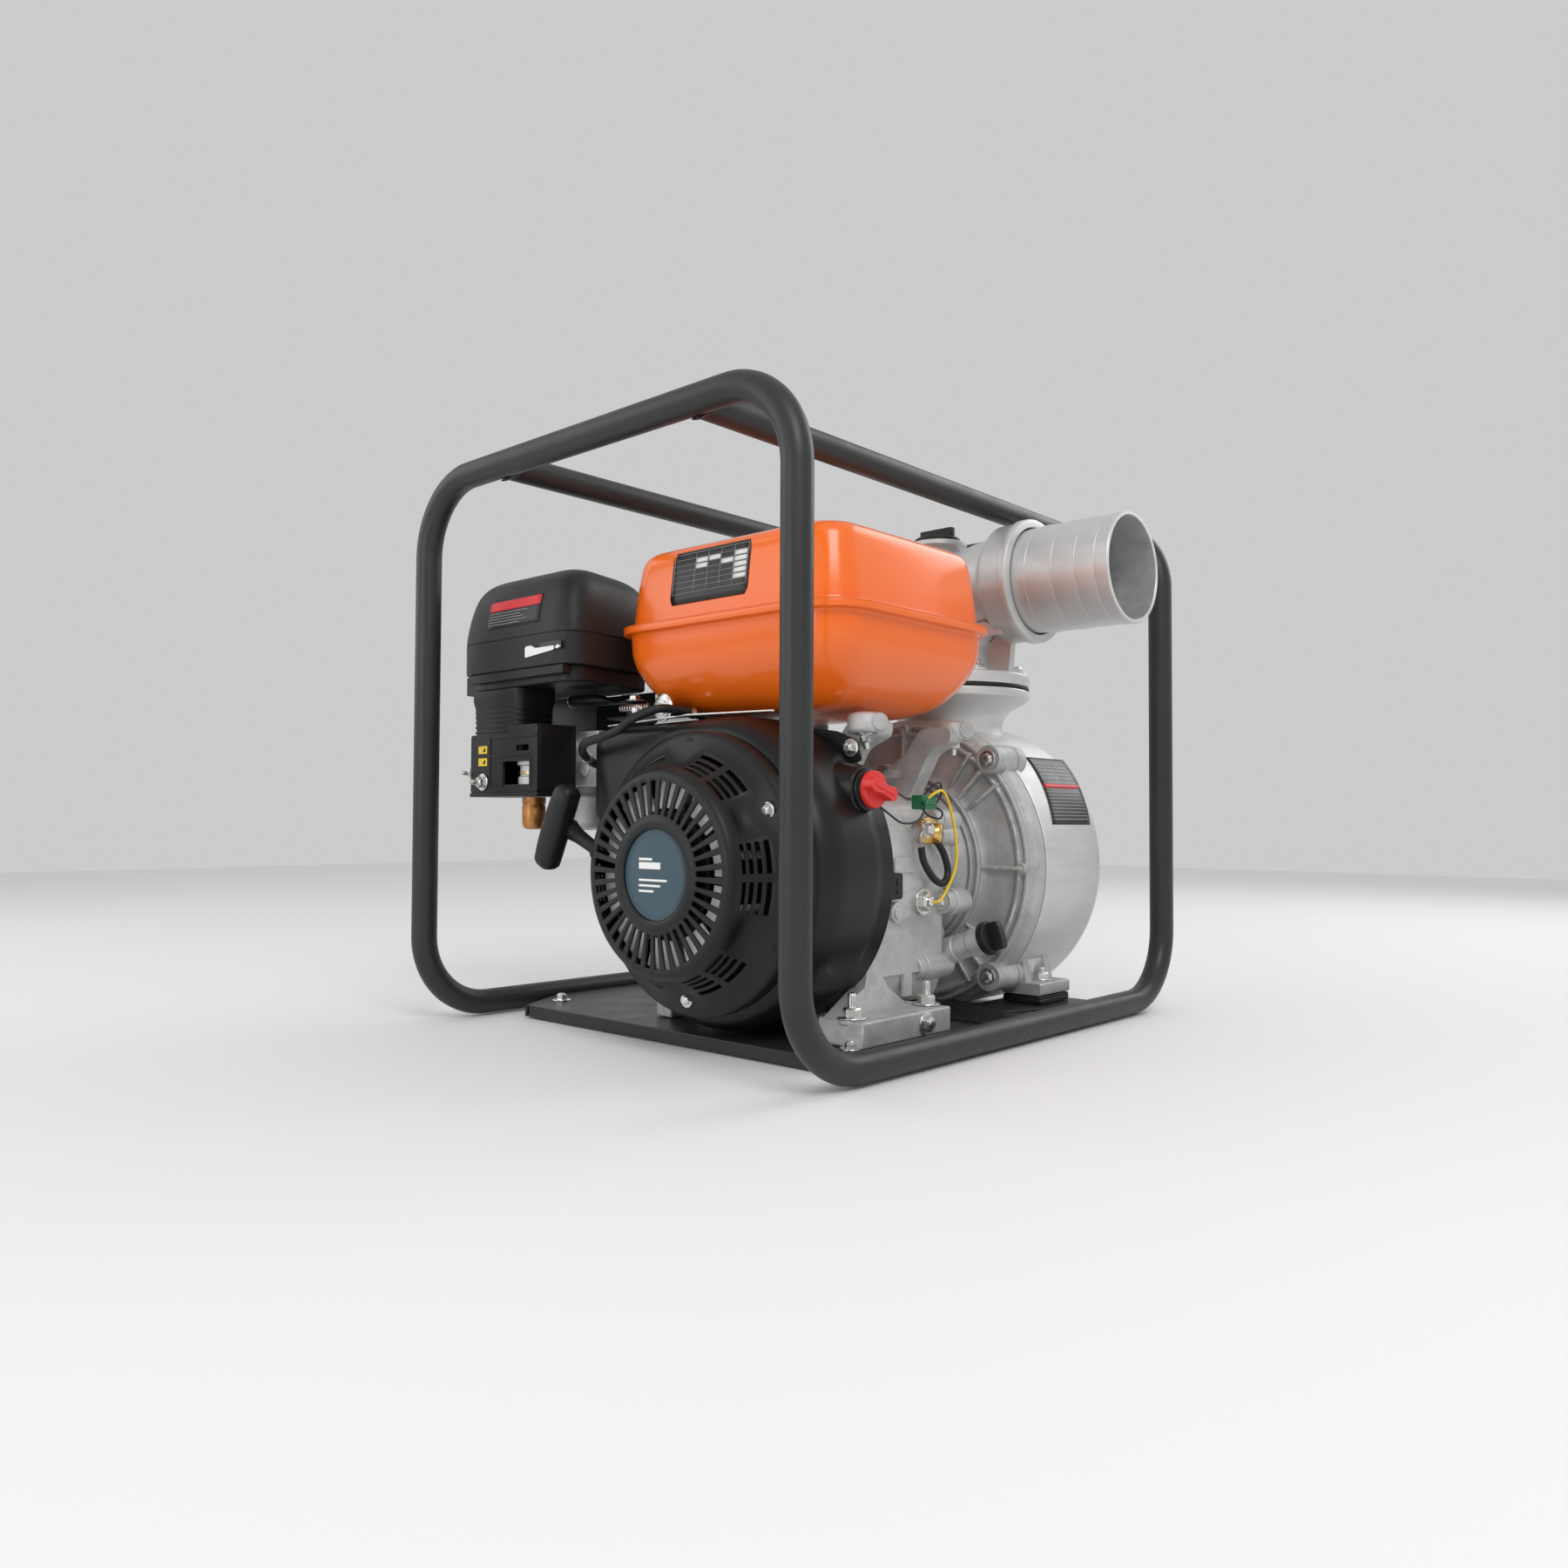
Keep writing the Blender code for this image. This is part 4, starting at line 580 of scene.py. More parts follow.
def along(distance, side=0.0, y=-0.060):
    a = math.radians(25)
    return Vector((CX - distance * math.cos(a) + side * math.sin(a), y,
                   CZ + distance * math.sin(a) + side * math.cos(a)))


def build_crankcase():
    body = [(-0.032, 0.030), (0.146, 0.030), (0.157, 0.056), (0.158, 0.165), (0.140, 0.210),
            (0.104, 0.232), (0.000, 0.232), (-0.032, 0.208)]
    case = Shape().prism(rounded(body, 0.016, 6), "Y", -0.1238, 0.0038)
    case.prism(comb(0.062, 0.1745, 0.049, 0.060, 0.0115, 0.0035), "Y", -0.114, -0.006)
    # front flange that spreads down to the feet, with its webs
    case.prism([(-0.1236, 0.118), (-0.1236, 0.034), (-0.167, 0.034), (-0.150, 0.0440), (-0.138, 0.0510),
                (-0.1275, 0.0560), (-0.1250, 0.066)], "X", 0.1575, 0.1700)
    case.prism([(-0.1236, 0.110), (-0.1236, 0.034), (-0.060, 0.034), (-0.090, 0.052), (-0.104, 0.072)],
               "X", 0.150, 0.1655)
    case.box((0.1560, -0.112, 0.0600), (0.1592, -0.016, 0.0620))
    case.box((0.1560, -0.112, 0.0345), (0.1592, -0.109, 0.0620))
    case.box((0.1560, -0.072, 0.1500), (0.1600, -0.044, 0.1630))
    case.box((0.1560, -0.058, 0.0400), (0.1592, -0.046, 0.0610))
    for y, z, r in ((-0.069, 0.1150, 0.0095), (-0.032, 0.1230, 0.0125), (-0.023, 0.1860, 0.0110),
                    (-0.100, 0.1850, 0.0080)):
        case.rod((0.150, y, z), (0.1615, y, z), r)
    case.rod((0.1615, -0.069, 0.115), (0.1625, -0.069, 0.115), 0.006)
    # arms that carry the tank
    case.prism([(0.088, 0.226), (0.116, 0.222), (0.142, 0.204), (0.158, 0.176), (0.158, 0.150),
                (0.150, 0.150),
                (0.120, 0.200)], "Y", -0.040, 0.0030)
    room = Shape()
    room.rod((CX, -0.1150, CZ), (CX, -0.0080, CZ), 0.0620, sides=64)
    room.rod((CX, -0.1300, CZ), (CX, 0.0100, CZ), 0.0312, sides=48)
    room.rod(along(0.020), along(0.180), 0.0387, sides=64)
    case = case.done("skin_crankcase_body", "cast_aluminium", bevel=0.0012)
    fit(hollow(case, room.done("crank_room", "steel")), replaces=("crankcase",))
    feet = Shape().box((-0.045, -0.1238, 0.0131), (0.200, -0.0442, 0.0345))
    feet.box((0.1525, -0.168, 0.0131), (0.200, -0.120, 0.0345))
    feet.box((-0.045, -0.168, 0.0131), (-0.0245, -0.120, 0.0345))
    for x in (0.180, -0.0155):
        for y in (-0.157, -0.053):
            feet.rod((x, y, 0.030), (x, y, 0.0350), 0.0125)
    feet.rod((0.196, -0.082, 0.0240), (0.2004, -0.082, 0.0240), 0.0105)
    fit(feet.done("skin_crankcase_feet", "cast_rough", bevel=0.0018, segments=3))
    for x in (0.180, -0.0155):
        for y in (-0.157, -0.053):
            bolt((x, y, 0.0350), (0, 0, 1), 0.0135, 0.0075, 0.0125, stud=0.0125, stem="foot_nut")
    bolt((0.2004, -0.082, 0.0240), (1, 0, 0), 0.0120, 0.0050, 0.0100, stem="oil_drain_bolt")
    lower = [(along(0.205 + 0.0006 + d, s).x, along(0.205 + 0.0006 + d, s).z)
             for d, s in ((0.005, -0.016), (0.032, -0.016), (0.0395, -0.008), (0.0395, 0.038),
                          (0.032, 0.046), (0.005, 0.046))]
    rocker = Shape().prism(rounded(lower, 0.006, 4), "Y", -0.0985, -0.0215)
    rocker.prism(rounded([(along(0.2107 + d, s).x, along(0.2107 + d, s).z)
                          for d, s in ((0, -0.020), (0.0030, -0.020), (0.0030, 0.050), (0, 0.050))],
                         0.0008, 2),
                 "Y", -0.1018, -0.0182)
    fit(rocker.done("skin_rocker_cover", "steel", bevel=0.0045, segments=4),
        replaces=("rocker_cover",))
    head = Shape().prism(comb(0.1754, 0.2095, 0.046, 0.057, 0.0085, 0.0030), "Y", -0.1150, -0.0050)
    fit(head.done("skin_cylinder_head", "cast_rough", bevel=0.0008),
        replaces=("cylinder_head",))


def build_side_cover():
    shape = Shape()
    shape.lathe([(0, 0.0046), (0.094, 0.0046), (0.0945, 0.0060), (0.0945, 0.0200), (0.0915, 0.0240),
                 (0.0780, 0.0262), (0.0700, 0.0262), (0.0640, 0.0300), (0.0600, 0.0345), (0.0400, 0.0348),
                 (0, 0.0348)], (CX, 0, CZ), (0, 1, 0), 96)
    for angle in (20, 75, 130, 195, 250, 318):
        centre = polar(0.092, angle, 0)
        shape.rod((centre.x, 0.0046, centre.z), (centre.x, 0.0305, centre.z), 0.0112)
    for angle in range(0, 360, 30):
        spin = Matrix.Translation((CX, 0, CZ)) @ Matrix.Rotation(math.radians(-angle), 4, "Y")
        shape.box((0.060, 0.020, -0.0016), (0.090, 0.0290, 0.0016), spin)
    way = Vector((math.cos(math.radians(19)), 0, math.sin(math.radians(19))))
    tip = Vector((0.193, 0.021, 0.0873))
    shape.rod(tip - way * 0.080, tip - way * 0.010, 0.0118, 0.0118)
    shape.rod(tip - way * 0.014, tip - way * 0.0003, 0.0135, 0.0135)
    shape.rod(tip - way * 0.075, tip - way * 0.030, 0.0150, 0.0125)
    fit(shape.done("skin_side_cover", "cast_aluminium", bevel=0.0016, segments=3),
        replaces=("crankcase_side_cover",))
    for angle in (20, 75, 130, 250, 318):
        centre = polar(0.092, angle, 0.0305)
        bolt((centre.x, 0.0305, centre.z), (0, 1, 0), 0.0085, 0.0035, 0.0075, stem="cover_bolt")
    # case bosses whose bolts face the starter's side
    bosses = Shape()
    for x, z, y0, y1, r in ((0.160, 0.121, -0.0020, 0.0340, 0.0115), (0.150, 0.062, -0.0340, 0.0200, 0.0115),
                            (0.1500, 0.196, -0.0060, 0.0330, 0.0105)):
        bosses.rod((x, y0, z), (x, y1, z), r)
        bosses.rod((x, y0 + 0.010, z), (x, y1, z), r * 1.18, r)
    fit(bosses.done("case_bosses", "cast_aluminium", bevel=0.0012, segments=3))
    for x, z, y0 in ((0.160, 0.121, -0.0020), (0.150, 0.062, -0.0340), (0.150, 0.196, -0.0060)):
        bolt((x, y0, z), (0, -1, 0), 0.0090, 0.0022, 0.0078, stem="boss_bolt")
    cap = Shape()
    cap.lathe([(0, 0.0004), (0.0150, 0.0004), (0.0156, 0.0012), (0.0156, 0.0062), (0.0148, 0.0078),
               (0.0120, 0.0088), (0, 0.0092)], tip, way, 48)
    cap.lathe([(0, -0.010), (0.0066, -0.010), (0.0066, 0.001), (0, 0.001)], tip, way, 24)
    spin = Matrix.Translation(tip) @ way.to_track_quat("Z", "Y").to_matrix().to_4x4()
    cap.prism(rounded([(-0.0135, 0.006), (0.0135, 0.006), (0.0125, 0.0190), (0.0060, 0.0202),
                       (-0.0060, 0.0202),
                       (-0.0125, 0.0190)], 0.004, 5), "X", -0.0042, 0.0042, spin)
    fit(cap.done("skin_oil_filler_cap", "black_plastic", bevel=0.0012, segments=3),
        "oil_filler_cap", replaces=("oil_filler_cap",))


def shroud_ring(inset, y):
    radius = 0.1352 - inset
    spots = arc((CX, CZ), radius, -172, 84, 90)
    spots += arc((-0.074 + inset * 0.3, 0.2705 - inset * 0.6), 0.012, 95, 180, 10)
    spots += arc((-0.074 + inset * 0.3, 0.196 + inset * 0.6), 0.012, 180, 240, 8)
    return [Vector((x, y, z)) for x, z in spots]


def build_shroud():
    rings = [shroud_ring(0, -0.1252), shroud_ring(0, -0.150), shroud_ring(0, -0.184)]
    for k in range(1, 10):
        a = math.radians(90 * k / 9)
        rings.append(shroud_ring(0.0175 * (1 - math.cos(a)), -0.184 - 0.0285 * math.sin(a)))
    shape = Shape()
    shape.skin(rings, False, True)
    shell = shape.done("skin_fan_shroud", "black_paint", limit=40)
    wall = shell.modifiers.new("wall", "SOLIDIFY")
    wall.thickness = 0.0016
    wall.offset = -1
    fit(shell, replaces=("fan_shroud",))
    # boss that carries the ignition switch, blended into the shroud's shoulder
    boss = Shape()
    rows = []
    for t, (hy, hz) in ((0.0, (0.0245, 0.0250)), (0.5, (0.0225, 0.0225)), (0.85, (0.0205, 0.0205)),
                        (1.0, (0.0188, 0.0188))):
        x = 0.150 + (0.1872 - 0.150) * t
        rows.append([Vector((x, y, z)) for y, z in round_rect((-0.148, 0.2213), hy, hz, hy * 0.9, 6)])
    boss.skin(rows, False, True)
    fit(boss.done("switch_boss_cover", "black_paint", bevel=0.0012, segments=2))
    grommet = Shape().prism(rounded([(-0.0875, 0.1270), (-0.0670, 0.1270), (-0.0670, 0.1500),
                                     (-0.0875, 0.1500)],
                                    0.003, 3), "X", 0.156, 0.1650)
    grommet.rod((0.164, -0.0740, 0.1420), (0.1660, -0.0740, 0.1420), 0.0030)
    grommet.rod((0.164, -0.0740, 0.1345), (0.1660, -0.0740, 0.1345), 0.0030)
    fit(grommet.done("lead_grommet", "rubber", bevel=0.0012, segments=3))


def recoil_point(r, y, degrees, dent):
    """Dome point, pressed in around the six ears."""
    offset = abs(((degrees - 30) % 60 + 30) % 60 - 30)
    press = max(0.0, 1 - (offset / 13.0) ** 2) ** 1.2
    return polar(r - dent * press, degrees, y + dent * press * 0.55)


def build_recoil():
    rows = [(0.0385, FACE + 0.0012, 0), (0.0400, FACE + 0.0001, 0), (0.0440, FACE + 0.0001, 0),
            (0.0455, FACE + 0.0010, 0), (0.0490, FACE + 0.0014, 0), (0.0770, FACE + 0.0026, 0),
            (0.0800, FACE + 0.0026, 0), (0.0826, FACE + 0.0034, 0), (0.0844, FACE + 0.0056, 0),
            (0.0856, FACE + 0.0090, 0.0), (0.0868, FACE + 0.0120, 0.001), (0.0880, FACE + 0.0150, 0.003),
            (0.0891, FACE + 0.0176, 0.0045), (0.0908, FACE + 0.0210, 0.0055),
            (0.0924, FACE + 0.0238, 0.0055),
            (0.0946, FACE + 0.0270, 0.0052), (0.0968, FACE + 0.0298, 0.0045),
            (0.0998, FACE + 0.0330, 0.0034),
            (0.1030, FACE + 0.0358, 0.002), (0.1075, FACE + 0.0386, 0.0008), (0.1130, FACE + 0.0412, 0),
            (0.1165, FACE + 0.0424, 0), (0.1178, FACE + 0.0438, 0), (0.1178, FACE + 0.0548, 0)]
    steps = 360
    bm = bmesh.new()
    grid = [[bm.verts.new(recoil_point(r, y, 360 * i / steps, dent)) for i in range(steps)]
            for r, y, dent in rows]
    louvres = {10, 12, 14, 16}
    for j in range(len(rows) - 1):
        for i in range(steps):
            degrees = 360 * (i + 0.5) / steps
            if j == 4 and i % 9 < 5:
                continue
            around = abs((degrees + 30) % 60 - 30)
            if j in louvres and 2.0 < around < 17.0:
                continue
            k = (i + 1) % steps
            bm.faces.new((grid[j][i], grid[j][k], grid[j + 1][k], grid[j + 1][i]))
    shape = Shape()
    shape.bm.free()
    shape.bm = bm
    cover = shape.done("skin_recoil_cover", "black_plastic", limit=50)
    wall = cover.modifiers.new("wall", "SOLIDIFY")
    wall.thickness = 0.0024
    wall.offset = 1
    edge = cover.modifiers.new("edge", "BEVEL")
    edge.width = 0.0003
    edge.segments = 1
    edge.limit_method = "ANGLE"
    edge.angle_limit = math.radians(60)
    fit(cover, replaces=("recoil_cover",))
    hub = Shape().lathe([(0.0385, FACE + 0.0010), (0.0385, FACE + 0.0060), (0, FACE + 0.0060)],
                        (CX, 0, CZ), (0, 1, 0), 72)
    fit(hub.done("recoil_hub", "black_plastic"))
    badge = Shape().lathe([(0, FACE + 0.0008), (0.0376, FACE + 0.0008), (0.0382, FACE + 0.0014),
                           (0.0382, FACE + 0.0030), (0, FACE + 0.0030)], (CX, 0, CZ), (0, 1, 0), 96)
    fit(badge.done("badge", "badge_blue"))
    ring = Shape().lathe([(0.0335, FACE + 0.0009), (0.0335, FACE + 0.00055), (0.0342, FACE + 0.00055),
                          (0.0342, FACE + 0.0009)], (CX, 0, CZ), (0, 1, 0), 96, closed=True)
    fit(ring.done("badge_ring", "badge_blue", flat=True))
    bars = Shape()
    for z, length, tall in ((0.0115, 0.016, 0.0020), (0.0045, 0.026, 0.0055), (-0.0055, 0.034, 0.0018),
                            (-0.0100, 0.026, 0.0018), (-0.0145, 0.018, 0.0018)):
        bars.box((CX - 0.020, FACE + 0.00062, CZ + z), (CX - 0.020 + length, FACE + 0.0009, CZ + z + tall))
    fit(bars.done("badge_bars", "label_white", flat=True))
    for angle in (30, 150, 270):
        bolt(polar(0.1050, angle, FACE + 0.0375), (0, -1, 0), 0.0082, 0.0030, 0.0068, stem="starter_screw")
    for angle in (30, 90, 150, 210, 270, 330):
        spot = polar(0.1050, angle, FACE + 0.0380)
        seat = Shape().lathe([(0.0040, 0.006), (0.0040, -0.0002), (0.0080, -0.0002), (0.0090, 0.0010),
                              (0.0092, 0.008)],
                             spot, (0, 1, 0), 40)
        fit(seat.done(numbered("starter_ear"), "black_plastic"))
    mouth = Vector((-0.0355, -0.2480, 0.1690))
    pull = Vector((-0.907, 0, 0.421)).normalized()
    guide = Shape().lathe([(0.0100, -0.024), (0.0095, -0.006), (0.0085, -0.0010), (0.0078, 0.0),
                           (0.0045, 0.0),
                           (0.0040, -0.004), (0.0040, -0.024)], mouth, pull, 40)
    fit(guide.done("rope_guide", "black_plastic"))
    root = mouth + pull * 0.0006
    grip = Shape()
    grip.lathe([(0, 0.0), (0.0050, 0.0), (0.0056, 0.0008), (0.0060, 0.012), (0.0066, 0.026), (0.0080, 0.036),
                (0.0096, 0.042), (0, 0.046)], root, pull, 36)
    across = Vector((pull.z, 0, -pull.x))
    middle = root + pull * 0.0480 + Vector((0, -0.0105, 0))
    rings = []
    for t in (-1.0, -0.985, -0.94, -0.86, -0.6, -0.3, 0.0, 0.3, 0.6, 0.86, 0.94, 0.985, 1.0):
        taper = math.sqrt(max(0.0, 1 - max(0.0, abs(t) - 0.80) ** 2 / 0.20 ** 2 * 0.82))
        ring = []
        for i in range(32):
            a = math.tau * i / 32
            c, s = math.cos(a), math.sin(a)
            u = math.copysign(abs(c) ** 0.72, c) * 0.0112 * taper
            v = math.copysign(abs(s) ** 0.72, s) * (0.0128 - 0.0016 * abs(t)) * taper
            ring.append(middle + across * (0.0405 * t) + pull * (v - 0.0015 * t * t) + Vector((0, u, 0)))
        rings.append(ring)
    grip.skin(rings, True, True)
    fit(grip.done("skin_recoil_handle", "black_plastic", limit=60), "recoil_handle",
        replaces=("recoil_handle",))


def build_fan():
    """Cast flywheel with the curved vanes that show through the starter's slots, painted light grey as a
    painted highlight where they sit in shade.
    """
    fan = Shape()
    fan.lathe([(0.0140, -0.2055), (0.0335, -0.2055), (0.0395, -0.1805), (0.1035, -0.1805), (0.1035, -0.1765),
               (0.0975, -0.1725), (0.0975, -0.1385), (0.0885, -0.1385), (0.0875, -0.1625), (0.0300, -0.1665),
               (0.0300, -0.1975), (0.0140, -0.1975)], (CX, 0, CZ), (0, 1, 0), 96, closed=True)
    for k in range(20):
        lines = []
        for width in (0.0, 0.0030):
            line = []
            for j in range(7):
                t = j / 6
                r = 0.045 + 0.056 * t
                a = math.tau * k / 20 - math.radians(22) * t + width / r
                line.append((CX + r * math.cos(a), CZ + r * math.sin(a)))
            lines.append(line)
        fan.prism(lines[0] + lines[1][::-1], "Y", -0.2050, -0.1800)
    # plate and posts just behind the starter's slots, in the same light grey: a painted highlight that makes
    # the shaded slots read bright
    for k in range(10):
        start = 36 * k
        sector = arc((CX, CZ), 0.0800, start, start + 29, 10) + arc((CX, CZ), 0.0545, start + 29, start, 10)
        fan.prism(sector, "Y", -0.2535, -0.2515)
        post = polar(0.070, start + 14, 0)
        fan.rod((post.x, -0.2520, post.z), (post.x, -0.2000, post.z), 0.0035)
    fit(fan.done("skin_flywheel_fan", "fan_alloy", bevel=0.0006), "rotor",
        replaces=("flywheel_fan",))


def build_switch():
    at = Vector((0.1875, -0.148, 0.2213))
    plate = Shape().lathe([(0, 0.0002), (0.0172, 0.0002), (0.0176, 0.0010), (0.0172, 0.0024),
                           (0.0150, 0.0032),
                           (0.0148, 0.0044), (0, 0.0046)], at, (1, 0, 0), 56)
    fit(plate.done("skin_switch_body", "black_plastic"), replaces=("switch_body",))
    knob = Shape()
    base = at + Vector((0.0050, 0, 0))
    knob.lathe([(0, 0.0), (0.0152, 0.0), (0.0157, 0.0008), (0.0155, 0.0042), (0.0146, 0.0054), (0, 0.0060)],
               base, (1, 0, 0), 56)
    tilt = Matrix.Translation(base) @ Matrix.Rotation(math.radians(-18), 4, "X")
    outline = [(-0.0172, -0.0040), (-0.0120, -0.0062), (-0.0060, -0.0046), (0.0060, -0.0046),
               (0.0120, -0.0062),
               (0.0172, -0.0040), (0.0172, 0.0040), (0.0120, 0.0062), (0.0060, 0.0046), (-0.0060, 0.0046),
               (-0.0120, 0.0062), (-0.0172, 0.0040)]
    knob.prism(rounded(outline, 0.004, 4), "X", 0.0035, 0.0145, tilt)
    knob.box((0.0140, -0.0125, -0.0010), (0.0154, 0.0125, 0.0010), tilt)
    fit(knob.done("skin_switch_knob", "red_plastic", bevel=0.0010, segments=3),
        "engine_switch_knob", replaces=("engine_switch_knob",))


# ---- fuel tank ---------------------------------------------------------------------------
TANK = Vector((0.0635, -0.084, 0.370))
TANK_UP = [(0.0000, 0.0000, 0.0022, 0.045), (0.0004, 0.0004, 0.0034, 0.0445),
           (0.0070, 0.0070, 0.0038, 0.038),
           (0.0098, 0.0098, 0.0052, 0.0345), (0.0108, 0.0106, 0.0090, 0.033),
           (0.0122, 0.0120, 0.0200, 0.031),
           (0.0146, 0.0142, 0.0380, 0.029), (0.0172, 0.0166, 0.0560, 0.028), (0.0195, 0.0188, 0.0650, 0.028),
           (0.0235, 0.0225, 0.0700, 0.028), (0.0300, 0.0285, 0.0730, 0.028), (0.0440, 0.0400, 0.0760, 0.026),
           (0.0700, 0.0620, 0.0792, 0.022), (0.1050, 0.0930, 0.0818, 0.014), (0.1330, 0.1170, 0.0824, 0.006)]
TANK_LOW = [(0.0000, 0.0000, -0.0022, 0.045), (0.0004, 0.0004, -0.0034, 0.0445),
            (0.0050, 0.0050, -0.0038, 0.040),
            (0.0072, 0.0070, -0.0050, 0.038), (0.0078, 0.0076, -0.0090, 0.037),
            (0.0090, 0.0088, -0.0220, 0.036),
            (0.0120, 0.0116, -0.0340, 0.036), (0.0180, 0.0174, -0.0470, 0.036),
            (0.0270, 0.0262, -0.0600, 0.036),
            (0.0390, 0.0374, -0.0710, 0.034), (0.0560, 0.0530, -0.0785, 0.032),
            (0.0780, 0.0720, -0.0810, 0.028),
            (0.1060, 0.0940, -0.0822, 0.018), (0.1300, 0.1140, -0.0824, 0.008)]


def tank_rings(table):
    rings = []
    for ix, iy, z, corner in refine(table, 3):
        spots = round_rect((TANK.x, TANK.y), 0.1413 - ix, 0.1238 - iy, max(0.004, corner), 12)
        rings.append([Vector((x, y, TANK.z + z)) for x, y in spots])
    return rings


def front_of_tank(z, table=TANK_UP):
    """Y of the tank's front face at a height."""
    rows = refine(table, 6)
    for a, b in zip(rows, rows[1:]):
        if (a[2] - (z - TANK.z)) * (b[2] - (z - TANK.z)) <= 0 and abs(a[2] - b[2]) > 1e-7:
            t = ((z - TANK.z) - a[2]) / (b[2] - a[2])
            return TANK.y - 0.1238 + a[1] + (b[1] - a[1]) * t
    return TANK.y - 0.1238


def sticker(name, material, u0, u1, v0, v1, place, corner=0.002, lift=0.0004, nu=12, nv=8):
    """A thin sticker laid on a surface; place(u, v) gives the surface point and its outward normal."""
    shape = Shape()
    rows = []
    for j in range(nv + 1):
        row = []
        v = v0 + (v1 - v0) * j / nv
        edge = min(v - v0, v1 - v)
        cut = corner - math.sqrt(max(0.0, corner ** 2 - max(0.0,
                                                            corner - edge) ** 2)) if edge < corner else 0
        for i in range(nu + 1):
            u = u0 + cut + (u1 - u0 - 2 * cut) * i / nu
            spot, normal = place(u, v)
            row.append(spot + normal * lift)
        rows.append(row)
    shape.skin(rows, False, False, closed=False)
    obj = shape.done(name, material)
    thick = obj.modifiers.new("thick", "SOLIDIFY")
    thick.thickness = 0.0003
    thick.offset = 0
    return fit(obj)


def build_tank():
    top = Shape().skin(tank_rings(TANK_UP), False, True).done("skin_fuel_tank_upper", "tank_orange",
                                                              limit=60)
    low = Shape().skin(tank_rings(TANK_LOW), False, True).done("skin_fuel_tank_lower", "tank_orange",
                                                               limit=60)
    for obj, node in ((top, "fuel_tank_upper"), (low, "fuel_tank_lower")):
        fit(obj, replaces=(node,))
    rim = Shape()
    rings = []
    for grow, z in ((-0.0060, 0.0020), (-0.0002, 0.0022), (0.0, 0.0012), (0.0, -0.0012), (-0.0002, -0.0022),
                    (-0.0060, -0.0020)):
        spots = round_rect((TANK.x, TANK.y), 0.1413 + grow, 0.1238 + grow, 0.045 + grow, 12)
        rings.append([Vector((x, y, TANK.z + z)) for x, y in spots])
    fit(rim.skin(rings, False, False).done("tank_seam", "tank_orange", limit=60))

    def front(u, v):
        y = front_of_tank(v)
        slope = (front_of_tank(v + 0.002) - y) / 0.002
        return Vector((u, y, v)), Vector((0, -1, slope)).normalized()

    sticker("tank_label", "label_black", 0.0005, 0.0965, 0.3875, 0.4355, front, 0.003)
    x_lines = (0.0030, 0.0300, 0.0458, 0.0615, 0.0775, 0.0940)
    for k, x in enumerate(x_lines):
        sticker(f"tank_label_rule_v{k}", "label_grey", x - 0.0003, x + 0.0003, 0.3970, 0.4330, front, 0.0001,
                0.0008, 2, 6)
    for k in range(8):
        z = 0.3970 + 0.036 * k / 7
        sticker(f"tank_label_rule_h{k}", "label_grey", 0.0030, 0.0940, z - 0.0002, z + 0.0002, front, 0.0001,
                0.0008, 8, 1)
    cells = ((1, 6), (2, 6), (1, 5), (3, 5), (4, 6), (4, 5), (4, 4), (4, 3), (4, 2))
    for k, (c, r) in enumerate(cells):
        z = 0.3970 + 0.036 * (r - 1) / 7
        sticker(f"tank_label_cell_{k}", "label_white", x_lines[c] + 0.0008, x_lines[c + 1] - 0.0008,
                z + 0.0006, z + 0.0045, front, 0.0004, 0.0009, 3, 2)
    seat = Vector((0.035, -0.030, 0.453))
    cap = Shape().lathe([(0, -0.006), (0.0240, -0.006), (0.0250, 0.0002), (0.0292, 0.0002), (0.0300, 0.0020),
                         (0.0300, 0.0125), (0.0285, 0.0150), (0.0240, 0.0164), (0, 0.0172)], seat,
                        (0, 0, 1), 72)
    for k in range(24):
        a = math.tau * k / 24
        at = seat + Vector((0.0288 * math.cos(a), 0.0288 * math.sin(a), 0))
        cap.rod(at + Vector((0, 0, 0.0015)), at + Vector((0, 0, 0.0130)), 0.0012, sides=10)
    cap.prism(rounded([(seat.x - 0.0255, seat.y - 0.005), (seat.x + 0.0255, seat.y - 0.005),
                       (seat.x + 0.0255, seat.y + 0.005), (seat.x - 0.0255, seat.y + 0.005)], 0.004, 4), "Z",
              seat.z + 0.012, seat.z + 0.0212)
    fit(cap.done("skin_fuel_cap", "black_plastic", bevel=0.0008), "fuel_cap",
        replaces=("fuel_cap",))


